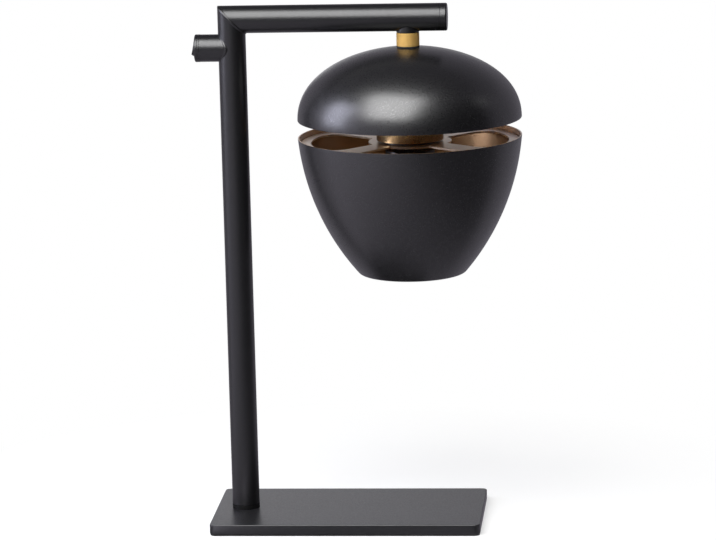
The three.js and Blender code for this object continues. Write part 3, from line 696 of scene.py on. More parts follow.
# Opal polycarbonate, blow moulded: even, milky and satin.
OPAL_GLOBE = OpalFinish(
    "blown_opal_polycarbonate", "efece2", "e8e4d8", 0.28, ior=1.58, mottle=15.0, grit=0.6,
    grit_depth=0.004,
)


class Body(Enum):
    """The bodies that new pieces ride on."""

    STAND = "stand"
    ROCKER = "switch_rocker"
    SHADE = "shade"


class Slot(Enum):
    """Names of material slots that the new pieces are passed with; nothing reads them."""

    PLATE = "grey_paint"
    RUBBER = "pad_rubber"
    ENAMEL = "black_paint"
    PLASTIC = "black_plastic"
    COLLAR = "turned_brass"
    BRONZE = "bronze_paint"
    HOUSING = "bulb_white"
    OPAL = "opal_plastic"


def add_trim(name: str, mesh: BMesh, body: Body, slot: Slot, *finishes: Finish) -> Object:
    """Makes a piece.

    Args:
        name: what it is called.
        mesh: its shape, in millimetres. It is used up.
        body: the body that it rides on.
        slot: not used.
        finishes: its materials, in the order of the mesh's material numbers.

    Returns:
        The piece.
    """
    bmesh.ops.scale(mesh, vec=(MM, MM, MM), verts=mesh.verts)
    for face in mesh.faces:
        face.smooth = True
    for edge in mesh.edges:
        edge.smooth = not edge.is_manifold or edge.calc_face_angle() < SHARP_ANGLE
    triangles = sum(len(face.verts) - 2 for face in mesh.faces)
    piece = loose_object(name, mesh)
    for finish in finishes:
        piece.data.materials.append(finish.material())
    piece.modifiers.new("flat_faces_stay_flat", "WEIGHTED_NORMAL").keep_sharp = True
    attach(piece, body.value)
    log.info("%s rides on %s, %d triangles", piece.name, body.value, triangles)
    return piece


def add_piece(node: str, mesh: BMesh, body: Body, slot: Slot, *finishes: Finish) -> Object:
    """Makes the piece that stands for a CAD node, with add_trim's other arguments."""
    piece = add_trim(node + "_finished", mesh, body, slot, *finishes)
    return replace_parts(piece, node)


def dress_node(finish: Finish, *nodes: str) -> None:
    """Gives a finish to CAD nodes whose shape stays.

    Args:
        finish: the finish.
        nodes: the names of the nodes.
    """
    for name in nodes:
        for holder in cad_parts[name].material_slots:
            holder.material = finish.material()
        log.info("%s stays, in %s", name, finish.name)


# The camera and the studio. Sizes are metres and degrees here, but for the camera's own.


@dataclass(frozen=True)
class PhotoCamera:
    """The camera where the photograph was taken from."""

    place: tuple[float, float, float] = (267.4, -2846.6, 774.2)
    heading: float = 5.147  # degrees to the left of +Y
    dip: float = 11.26  # degrees below level
    roll: float = -1.398
    lens: float = 182.6
    sensor: float = 36.0
    far_end: float = 30.0  # metres

    def build(self) -> None:
        """Makes the camera and gives it to the scene."""
        data = bpy.data.cameras.new("photo_camera")
        data.lens = self.lens
        data.sensor_width = self.sensor
        data.clip_end = self.far_end
        item = add_object("photo_camera", data)
        item.matrix_world = (
            Matrix.Translation(Vector(self.place) * MM)
            @ Matrix.Rotation(math.radians(self.heading), 4, "Z")
            @ Matrix.Rotation(QUARTER_TURN - math.radians(self.dip), 4, "X")
            @ Matrix.Rotation(math.radians(self.roll), 4, "Z")
        )
        bpy.context.scene.camera = item


@dataclass(frozen=True)
class Softbox:
    """A flat soft lamp that faces the object."""

    name: str
    azimuth: float  # 0 is in front, 90 to the right
    elevation: float
    distance: float
    width: float
    height: float
    radiance: float
    tint: str = "ffffff"
    look_height: float = 0.25  # the point of the object that it faces

    def place(self) -> Matrix:
        """Finds where the lamp hangs.

        Returns:
            Its place, from which -Z points at the object.
        """
        level, around = math.radians(self.elevation), math.radians(self.azimuth)
        out = math.cos(level)
        away = Vector((math.sin(around) * out, -math.cos(around) * out, math.sin(level)))
        turn = away.to_track_quat("Z", "Y").to_matrix().to_4x4()
        return Matrix.Translation(Vector((0, 0, self.look_height)) + away * self.distance) @ turn

    def build(self) -> None:
        """Makes the lamp."""
        data = bpy.data.lights.new(self.name, "AREA")
        data.shape = "RECTANGLE"
        data.size = self.width
        data.size_y = self.height
        data.energy = self.radiance * math.pi * self.width * self.height
        data.color = srgb(self.tint)[:3]
        add_object(self.name, data).matrix_world = self.place()


@dataclass(frozen=True)
class ReflectionCard:
    """A curved grey card round the object, which only reflections see."""

    name: str
    left_grey: float
    right_grey: float
    start: float  # degrees of azimuth
    end: float
    section: Section  # (radius, height) points
    left_edge: float = -1.6  # where along +X its grey starts to change
    right_edge: float = 1.0
    tint: str = "f5efff"
    steps: int = 48

    def shape(self) -> BMesh:
        """Turns the section about +Z.

        Returns:
            The card's mesh.
        """
        mesh = bmesh.new()
        start = Matrix.Rotation(math.radians(self.start) - QUARTER_TURN, 3, "Z")
        points = [mesh.verts.new(start @ Vector((radius, 0, z))) for radius, z in self.section]
        line = points + [mesh.edges.new(pair) for pair in zip(points, points[1:])]
        turn = {"cent": (0, 0, 0), "axis": (0, 0, 1), "steps": self.steps}
        bmesh.ops.spin(mesh, geom=line, angle=math.radians(self.end - self.start), **turn)
        return mesh

    def build(self) -> None:
        """Makes the card, whose grey changes evenly from left to right."""
        card = loose_object(self.name, self.shape())
        made = bpy.data.materials.new(self.name)
        tree = emptied(made)
        place = add_node(tree, "TexCoord").outputs["Object"]
        change = {
            "Value": add_node(tree, "SeparateXYZ", {"Vector": place}).outputs["X"],
            "From Min": self.left_edge,
            "From Max": self.right_edge,
            "To Min": self.left_grey,
            "To Max": self.right_grey,
        }
        grey = add_node(tree, "MapRange", change).outputs["Result"]
        glow = add_node(tree, "Emission", {"Color": srgb(self.tint), "Strength": grey})
        add_node(tree, "OutputMaterial", {"Surface": glow.outputs["Emission"]})
        card.data.materials.append(made)
        card.visible_camera = False
        card.visible_diffuse = False
        card.visible_shadow = False
        card.visible_volume_scatter = False


@dataclass(frozen=True)
class Studio:
    """The pale floor, the white surroundings, the soft lamps and the cards."""

    floor_radius: float = 4.0
    clearance: float = 0.00005  # how far the floor lies under the pad, to share no plane
    floor_colour: str = "f2f2f2"
    shadow_share: float = 0.45  # how much of the floor's own shading shows near the object
    shadow_start: float = 0.12  # from the middle to where it starts to fade
    shadow_end: float = 0.4
    ambient: float = 0.2
    card_foot: float = 0.001  # how high the cards that stand round the object start
    card_sheet: float = 0.0005  # how high those lie that cover the floor
    card_top: float = 2.2
    front_radius: float = 1.75
    rear_radius: float = 1.76
    base_reach: float = 0.14  # about as far as the base's ends

    def build(self) -> None:
        """Makes all of it."""
        self.floor()
        self.surroundings()
        Softbox("key_softbox", -18, 50, 1.7, 1.4, 1.55, 8.4).build()
        Softbox("left_softbox", -78, 22, 1.6, 0.72, 1.15, 7.1, "e9ebff").build()
        foot, sheet, top = self.card_foot, self.card_sheet, self.card_top
        front, rear, base = self.front_radius, self.rear_radius, self.base_reach
        ground = ((0.13, sheet), (front, sheet))
        # A card's name, left and right grey, first and last azimuth, section, and where along +X
        # its grey starts and ends to change. The last column is a tint.
        for row in (
            ("front_card", 0.74, 0.03, -95, 92, ((front, foot), (front, 1.9)), -1.6, 0.3),
            ("rear_card", 0.35, 0.35, 92, 265, ((rear, foot), (rear, 1.2))),
            ("high_rear_card", 0.18, 0.25, 102, 265, ((rear, 1.2), (rear, top))),
            ("backdrop_card", 1.4, 0.8, 172, 198, ((1.7, 0.12), (1.7, 0.65)), -0.4, 0.05, "fbfbff"),
            ("near_floor_card", 0.16, 0.47, 0, 360, ((0, foot), (base, foot)), 0, base),
            ("front_edge_card", 1.8, 0, -60, 60, ((0.126, foot), (0.126, 0.013)), -0.11, 0.11),
            ("front_floor_card", 0.84, 0.14, -95, 104, ground, -0.45, 0.42),
            ("rear_floor_card", 0.4, 0.42, 104, 265, ground),
            ("top_card", 0.1, 0.12, 0, 360, ((0, top), (2.3, top))),
        ):
            ReflectionCard(*row).build()

    def seen_directly(self, tree: NodeTree) -> NodeSocket:
        """Tells what the camera, reflections and clear materials look at from other light.

        Args:
            tree: where its nodes go.

        Returns:
            A socket that gives 1 for those rays, and 0 for the others.
        """
        path = add_node(tree, "LightPath").outputs
        seen = path["Is Camera Ray"]
        for ray in ("Is Glossy Ray", "Is Transmission Ray"):
            seen = add_node(tree, "Math", {0: seen, 1: path[ray]}, operation="MAXIMUM").outputs[0]
        return seen

    def floor(self) -> None:
        """Makes the floor, which keeps the object's shadow."""
        mesh = bmesh.new()
        disc = {"radius": self.floor_radius, "matrix": Matrix.Translation((0, 0, -self.clearance))}
        bmesh.ops.create_circle(mesh, cap_ends=True, segments=SIDES, **disc)
        floor = loose_object("studio_floor", mesh)
        made = bpy.data.materials.new("studio_paper")
        tree = emptied(made)
        place = add_node(tree, "TexCoord").outputs["Object"]
        fade = {
            "Value": add_node(tree, "VectorMath", {0: place}, operation="LENGTH").outputs["Value"],
            "From Min": self.shadow_start,
            "From Max": self.shadow_end,
            "To Min": 1 - self.shadow_share,
            "To Max": 1.0,
        }
        white_share = add_node(tree, "MapRange", fade).outputs["Result"]
        factors = {0: self.seen_directly(tree), 1: white_share}
        mix = {
            0: add_node(tree, "Math", factors, operation="MULTIPLY").outputs["Value"],
            1: add_node(tree, "BsdfDiffuse", {"Color": srgb(self.floor_colour)}).outputs["BSDF"],
            2: add_node(tree, "Emission").outputs["Emission"],
        }
        surface = add_node(tree, "MixShader", mix).outputs["Shader"]
        add_node(tree, "OutputMaterial", {"Surface": surface})
        floor.data.materials.append(made)

    def surroundings(self) -> None:
        """Makes the world: white where it is looked at, a plain ambient level otherwise."""
        world = bpy.data.worlds.new("white_studio")
        bpy.context.scene.world = world
        tree = emptied(world)
        levels = {"Value": self.seen_directly(tree), "To Min": self.ambient, "To Max": 1.0}
        strength = add_node(tree, "MapRange", levels).outputs["Result"]
        glow = add_node(tree, "Background", {"Color": srgb("ffffff"), "Strength": strength})
        add_node(tree, "OutputWorld", {"Surface": glow.outputs["Background"]})


# The lamp, from the base up.


@dataclass
class Base:
    """The steel plate on its pad, with the bolt that holds the upright."""

    length: float = 217.0
    depth: float = 115.5
    pad_thickness: float = 1.2
    pad_inset: float = 0.5
    corner: float = 4.5
    edge: float = 0.7
    recess_radius: float = 9.5
    recess_depth: float = 4.9

    def slab(self, inset: float, low: float, high: float, edge: float) -> BMesh:
        """Returns a plate with round corners and eased edges.

        Args:
            inset: how far its sides stand in from the base's.
            low: its underside.
            high: its top.
            edge: the round of its edges.

        Returns:
            The plate.
        """
        x, y = self.length / 2 - inset, self.depth / 2 - inset
        mesh = block((-x, -y, low), (x, y, high))

        def upright(line: BMEdge) -> bool:
            """Says whether a line stands at a corner."""
            return abs(line.verts[0].co.z - line.verts[1].co.z) > WELD

        eased(mesh, self.corner, 12, upright)
        return eased(mesh, edge, 4)

    def plate(self) -> BMesh:
        """Makes the plate, with the bolt's hole and recess.

        Returns:
            The plate.
        """
        mesh = self.slab(0, self.pad_thickness, DATUM.base_top, self.edge)
        low = self.pad_thickness - OVERRUN
        recess = rod(self.recess_radius, low, self.pad_thickness + self.recess_depth)
        hole = rod(DATUM.bolt_hole, low, DATUM.base_top + OVERRUN)
        cutters = [placed(cutter, DATUM.column_axis()) for cutter in (recess, hole)]
        return combined(mesh, Boolean.CUT, *cutters)

    def build(self) -> None:
        """Makes the base's pieces."""
        pad = self.slab(self.pad_inset, 0, self.pad_thickness, HAIR_EDGE)
        add_piece("base_pad", pad, Body.STAND, Slot.RUBBER, CUT_RUBBER)
        add_piece("base_plate", self.plate(), Body.STAND, Slot.PLATE, PLATE_COAT)
        dress_node(ZINC_PLATE, "base_bolt", "base_washer")


@dataclass
class Upright:
    """The plug in the foot, the tube, and the gland at its back."""

    flange_height: float = 3.6
    spigot_length: float = 12.0
    groove: float = 0.6
    stub_hole: float = 9.0
    stub_margin: float = 12.0  # from the hole's middle to the rings of edges past it
    gland_margin: float = 14.0
    gland_height: float = 34.0
    gland_bore: float = 3.4
    sleeve_radius: float = 4.4
    sleeve_start: float = 8.4
    sleeve_end: float = 12.6
    flange_radius: float = 6.5
    flange_reach: float = 13.6
    nose_radius: float = 5.0
    nose_round: float = 1.0
    nose_reach: float = 15.6

    def foot_plug(self) -> BMesh:
        """Makes the plug, whose flange shows as a dark ring under the tube.

        Returns:
            The plug.
        """
        low = DATUM.base_top
        middle = low + self.flange_height
        top = middle + self.spigot_length
        outer, bore, spigot = DATUM.tube_radius, DATUM.bolt_hole, DATUM.spigot
        neck, seam = outer - self.groove, middle - self.groove
        line = [(bore, low), (outer, low), (outer, seam), (neck, seam), (neck, middle)]
        line += [(spigot, middle), (spigot, top), (bore, top)]
        return placed(eased(spun(line), HAIR_EDGE, 3), DATUM.column_axis())

    def column(self) -> BMesh:
        """Makes the tube, mitred at its top, with the holes for the stub and the gland.

        Returns:
            The tube.
        """
        low = DATUM.base_top + self.flange_height
        high = DATUM.arm_height + DATUM.tube_radius * 2
        mesh = tube(DATUM.tube_bore, DATUM.tube_radius, low, high, TUBE_SIDES)
        eased(mesh, HAIR_EDGE, 2, at_level(low))
        mesh = mitred(placed(mesh, DATUM.column_axis()), 1)
        ringed(mesh, Vector((0, 0, 1)), self.gland_height, self.gland_margin)
        ringed(mesh, Vector((0, 0, 1)), DATUM.stub_height, self.stub_margin)
        stub = rod(self.stub_hole, -DATUM.tube_radius * 2, 0)
        placed(stub, DATUM.column_axis(DATUM.stub_height), Axis.X)
        gland = rod(self.sleeve_radius + GAP, 0, DATUM.tube_radius * 2)
        placed(gland, DATUM.column_axis(self.gland_height), Axis.Y)
        return combined(mesh, Boolean.CUT, stub, gland)

    def gland(self) -> BMesh:
        """Makes the gland: a flange that hugs the tube, a sleeve in it and a round nose.

        Returns:
            The gland.
        """
        place = DATUM.column_axis(self.gland_height)
        bore, flange, start = self.gland_bore, self.flange_radius, self.sleeve_start
        line = [(bore, start), (flange, start), (flange, self.flange_reach)]
        line += [(self.nose_radius, self.flange_reach)]
        line += [(self.nose_radius - self.nose_round, self.nose_reach), (bore, self.nose_reach)]
        mesh = placed(eased(spun(line), LARGE_EDGE, 3), place, Axis.Y)
        wide = DATUM.tube_radius
        wall = placed(rod(wide + GAP, -wide * 2, wide * 8, SEAT_SIDES), DATUM.column_axis())
        mesh = combined(mesh, Boolean.CUT, wall)
        sleeve = tube(bore, self.sleeve_radius, start, self.sleeve_end)
        return combined(mesh, Boolean.JOIN, placed(sleeve, place, Axis.Y))

    def build(self) -> None:
        """Makes the upright's pieces."""
        add_piece("foot_plug", self.foot_plug(), Body.STAND, Slot.ENAMEL, PLUG_PAINT)
        add_piece("column_tube", self.column(), Body.STAND, Slot.ENAMEL, TUBE_ENAMEL)
        add_piece("cable_gland", self.gland(), Body.STAND, Slot.PLASTIC, MOULDED_ABS)


@dataclass
class Arm:
    """The tube of the arm and the cap in its end."""

    end: float = 86.6
    cap_length: float = 5.5
    cap_round: float = 1.2
    round_steps: int = 6
    spigot_length: float = 9.0
    hole_margin: float = 9.0  # from the hole's middle to the rings of edges past it
    bead_size: float = 1.6
    bead_sink: float = 1.05
    bead_shift: float = 0.5  # towards the inner corner, which it fills
    bead_steps: int = 120

    def arm(self) -> BMesh:
        """Makes the tube, mitred to the upright, with the nipple's hole in its lower wall.

        Returns:
            The tube.
        """
        low = DATUM.column_x - DATUM.tube_radius * 2
        high = self.end - self.cap_length
        mesh = tube(DATUM.tube_bore, DATUM.tube_radius, low, high, TUBE_SIDES)
        eased(mesh, FINE_EDGE, 2, at_level(high))
        mesh = mitred(placed(mesh, (0, 0, DATUM.arm_height), Axis.X), -1)
        ringed(mesh, Vector((1, 0, 0)), DATUM.shade_x, self.hole_margin)
        hole = rod(DATUM.nipple_hole, -DATUM.tube_radius * 2, 0)
        return combined(mesh, Boolean.CUT, placed(hole, DATUM.shade_axis(DATUM.arm_height)))

    def cap(self) -> BMesh:
        """Makes the cap, with a spigot in the tube and a round outer edge.

        Returns:
            The cap.
        """
        seat, end, outer = self.end - self.cap_length, self.end, DATUM.tube_radius
        inner_end = seat - self.spigot_length
        line = [(0, inner_end), (DATUM.spigot, inner_end), (DATUM.spigot, seat)]
        line += [(outer - FINE_EDGE, seat), (outer, seat + FINE_EDGE)]
        centre = (outer - self.cap_round, end - self.cap_round)
        line += [*arc(centre, self.cap_round, 0, QUARTER_TURN, self.round_steps), (0, end)]
        return placed(spun(line, closed=False), (0, 0, DATUM.arm_height), Axis.X)

    def mitre_bead(self) -> BMesh:
        """Makes the weld bead that closes the mitre.

        Returns:
            The bead.
        """
        corner = DATUM.column_axis(DATUM.arm_height) + self.bead_shift * Vector((1, 0, -1))
        radius = DATUM.tube_radius - self.bead_sink
        turns = [FULL_TURN * step / self.bead_steps for step in range(self.bead_steps)]
        ring = [Vector((math.cos(turn), math.sin(turn), -math.cos(turn))) for turn in turns]
        return bead([corner + radius * point for point in ring], [self.bead_size] * len(ring))

    def build(self) -> None:
        """Makes the arm's pieces."""
        add_trim("mitre_bead", self.mitre_bead(), Body.STAND, Slot.ENAMEL, TUBE_ENAMEL)
        add_piece("arm_tube", self.arm(), Body.STAND, Slot.ENAMEL, TUBE_ENAMEL)
        add_piece("arm_end_cap", self.cap(), Body.STAND, Slot.ENAMEL, TUBE_ENAMEL)


@dataclass
class Switch:
    """The round rocker switch in its stub. Depths run inwards from its face."""

    face_x: float = -114.7
    bezel: float = 2.4
    bezel_round: float = 0.8
    round_steps: int = 5
    ring: float = 1.6
    body_depth: float = 14.9
    opening: float = 7.9
    opening_edge: float = 0.25
    well: float = 11.2
    pivot: float = 3.3
    reach: float = 29.6
    pin_radius: float = 0.9
    pin_length: float = 18.0
    rocker_radius: float = 6.9
    rocker_end: float = 7.4
    rocker_face: float = 5.2
    rocker_skirt: float = 2.6
    dish: float = 0.6
    dish_sides: int = 768
    spring_bore: float = 1.6
    spring_sides: int = 48
    spring_bore_top: float = 2.4
    tilt: float = 11.0  # degrees
    slot_width: float = 5.4
    slot_height: float = 1.4
    slot_drop: float = 4.2
    stub_radius: float = 10.9
    seat_half: float = 30.0  # half the length of what cuts the stub's seat on the upright
    seat_sides: int = 256
    bead_size: float = 0.9
    bead_sink: float = 0.55
    bead_spread: float = 1.5  # how much it grows and sinks where the walls meet at a slant
    bead_shift: float = 2.6  # how far it lies outwards there
    bead_steps: int = 120

    def place(self, depth: float = 0.0) -> Vector:
        """Returns the point of the switch's axis at a depth."""
        return Vector((self.face_x + depth, 0, DATUM.stub_height))

    def stub(self) -> BMesh:
        """Makes the stub's tube, shaped to the upright that it meets.

        Returns:
            The tube.
        """
        start = self.bezel + self.ring
        mesh = tube(DATUM.tube_bore, self.stub_radius, start, self.reach, TUBE_SIDES)
        eased(mesh, FINE_EDGE, 2, at_level(start))
        seat = rod(DATUM.tube_radius + GAP, -self.seat_half, self.seat_half, self.seat_sides)
        placed(seat, self.place(self.reach))
        return combined(placed(mesh, self.place(), Axis.X), Boolean.CUT, seat)

    def stub_bead(self) -> BMesh:
        """Makes the weld bead where the stub meets the upright.

        Returns:
            The bead.
        """
        line, sizes = [], []
        for step in range(self.bead_steps):
            turn = FULL_TURN * step / self.bead_steps
            slant = math.cos(turn) ** 2
            sink = self.bead_sink + self.bead_spread * slant
            radius, wall = self.stub_radius - sink, DATUM.tube_radius - sink
            y, z = radius * math.cos(turn), radius * math.sin(turn)
            x = -math.sqrt(wall * wall - y * y) - self.bead_shift * slant**3
            line.append(self.place(self.reach) + Vector((x, y, z)))
            sizes.append(self.bead_size + self.bead_spread * slant)
        return bead(line, sizes)

    def spacer(self) -> BMesh:
        """Returns the thin ring between the bezel and the stub."""
        mesh = tube(DATUM.tube_bore, DATUM.tube_radius, self.bezel, self.bezel + self.ring)
        return placed(eased(mesh, FINE_EDGE, 2), self.place(), Axis.X)

    def body(self) -> BMesh:
        """Makes the body: bezel, barrel, well, pivot holes and the terminals' slots.

        Returns:
            The body.
        """
        outer, opening, edge = DATUM.tube_radius, self.opening, self.opening_edge
        centre = (outer - self.bezel_round, self.bezel_round)
        line = [(0, self.well), (opening, self.well), (opening, edge), (opening + edge, 0)]
        line += arc(centre, self.bezel_round, -QUARTER_TURN, 0, self.round_steps)
        line += [(outer, self.bezel - FINE_EDGE), (outer - FINE_EDGE, self.bezel)]
        line += [(DATUM.spigot, self.bezel), (DATUM.spigot, self.body_depth), (0, self.body_depth)]
        half = self.pin_length / 2 + GAP
        pins = rod(self.pin_radius + GAP, -half, half, PIN_SIDES)
        tools = [placed(pins, self.place(self.pivot), Axis.Y)]
        width, height = self.slot_width / 2, self.slot_height / 2
        near, far = self.place(self.well - OVERRUN), self.place(self.body_depth + OVERRUN)
        for drop in (0, -self.slot_drop):
            low, high = Vector((0, -width, drop - height)), Vector((0, width, drop + height))
            tools.append(block(near + low, far + high))
        mesh = placed(spun(line, closed=False), self.place(), Axis.X)
        return combined(mesh, Boolean.CUT, *tools)

    def rocker(self) -> BMesh:
        """Makes the rocker: a disc with round ends, a dished face and two pins.

        Returns:
            The rocker, tilted as it is at rest.
        """
        radius, dish, middle = self.rocker_radius, self.dish, (0, 0, 0)
        dish_radius = (radius * radius + dish * dish) / (dish * 2)
        disc = placed(rod(radius, -self.rocker_face, self.rocker_skirt, TUBE_SIDES), middle, Axis.X)
        ends = placed(rod(self.rocker_end, -radius, radius, SEAT_SIDES), middle, Axis.Y)
        mesh = combined(disc, Boolean.WITHIN, ends)
        hollow = rod(dish_radius, -radius - OVERRUN, radius + OVERRUN, self.dish_sides)
        placed(hollow, (dish - self.rocker_face - dish_radius, 0, 0), Axis.Y)
        mesh = combined(mesh, Boolean.CUT, hollow)
        half = self.pin_length / 2
        pins = placed(rod(self.pin_radius, -half, half, PIN_SIDES), middle, Axis.Y)
        mesh = combined(mesh, Boolean.JOIN, pins)
        bore_end = self.rocker_skirt + OVERRUN
        bore = rod(self.spring_bore, -self.spring_bore_top, bore_end, self.spring_sides)
        mesh = combined(mesh, Boolean.CUT, placed(bore, middle, Axis.X))
        return placed(mesh, self.place(self.pivot), tilt=math.radians(self.tilt))

    def build(self) -> None:
        """Makes the switch's pieces."""
        add_piece("stub_tube", self.stub(), Body.STAND, Slot.ENAMEL, TUBE_ENAMEL)
        add_trim("stub_bead", self.stub_bead(), Body.STAND, Slot.ENAMEL, TUBE_ENAMEL)
        add_piece("switch_ring", self.spacer(), Body.STAND, Slot.PLASTIC, MOULDED_ABS)
        add_piece("switch_body", self.body(), Body.STAND, Slot.PLASTIC, MOULDED_ABS)
        add_piece("rocker", self.rocker(), Body.ROCKER, Slot.PLASTIC, MOULDED_ABS)
        contacts = ("line_terminal", "load_terminal", "rocker_plunger", "contact_seesaw")
        dress_node(STAMPED_BRASS, *contacts)
        dress_node(ZINC_PLATE, "rocker_spring")


@dataclass
class Wiring:
    """What runs inside the tubes."""

    def build(self) -> None:
        """Dresses the terminal block and the leads, which nobody sees from outside."""
        dress_node(FIRED_STEATITE, "terminal_block")
        dress_node(BROWN_PVC, "line_lead", "load_lead")
        dress_node(BLUE_PVC, "neutral_lead")


@dataclass
class Hanger:
    """What the shade hangs from and turns on."""

    bush_low: float = 397.0
    bush_high: float = 403.7
    seat_half: float = 20.0  # half the length of what cuts the bush's seat under the arm
    pin_hole: float = 1.0
    pin_hole_depth: float = 2.4
    track_middle: float = 7.2
    track_half: float = 1.0
    track_depth: float = 2.6
    tooth: float = 2.0
    collar_high: float = 396.7
    collar_chamfer: float = 0.5
    grooves: int = 9
    groove_depth: float = 0.1
    groove_half: float = 0.12

    def bush(self) -> BMesh:
        """Makes the bush, whose top is shaped to the arm.

        Returns:
            The bush.
        """
        low, high = self.bush_low - OVERRUN, self.bush_high + OVERRUN
        mesh = eased(rod(DATUM.hanger_radius, self.bush_low, self.bush_high), SMALL_EDGE, 3)
        arm = rod(DATUM.tube_radius + GAP, -self.seat_half, self.seat_half, SEAT_SIDES)
        placed(arm, (0, 0, DATUM.arm_height), Axis.X)
        hole = rod(DATUM.nipple_hole, low, high)
        pin = rod(self.pin_hole, low, self.bush_low + self.pin_hole_depth, PIN_SIDES)
        placed(pin, (0, self.track_middle, 0))
        return placed(combined(mesh, Boolean.CUT, arm, hole, pin), DATUM.shade_axis())

    def collar(self) -> BMesh:
        """Makes the collar, with its turned grooves and the stop pin's hidden track.

        Returns:
            The collar.
        """
        low, high, radius = DATUM.collar_low, self.collar_high, DATUM.hanger_radius
        bore, chamfer, half = DATUM.nipple_hole, self.collar_chamfer, self.groove_half
        line = [(bore, low), (radius - chamfer, low), (radius, low + chamfer)]
        for step in range(1, self.grooves + 1):
            middle = low + (high - low) * step / (self.grooves + 1)
            line += [(radius, middle - half), (radius - self.groove_depth, middle)]
            line += [(radius, middle + half)]
        line += [(radius, high - chamfer), (radius - chamfer, high), (bore, high)]
        inner, outer = self.track_middle - self.track_half, self.track_middle + self.track_half
        track = tube(inner, outer, high - self.track_depth, high + OVERRUN)
        side = self.tooth / 2
        tooth = block((-side, -radius - OVERRUN, low), (side, -bore, high * 2))
        track = combined(track, Boolean.CUT, tooth)
        mesh = combined(spun(line, TUBE_SIDES), Boolean.CUT, track)
        return placed(mesh, DATUM.shade_axis())

    def build(self) -> None:
        """Makes the hanger's pieces."""
        add_piece("hanger_bush", self.bush(), Body.STAND, Slot.PLASTIC, MOULDED_ABS)
        add_piece("brass_collar", self.collar(), Body.SHADE, Slot.COLLAR, TURNED_BRASS)
        dress_node(ZINC_PLATE, "saddle_washer", "stop_pin", "nipple", "spring_washer", "nipple_nut")


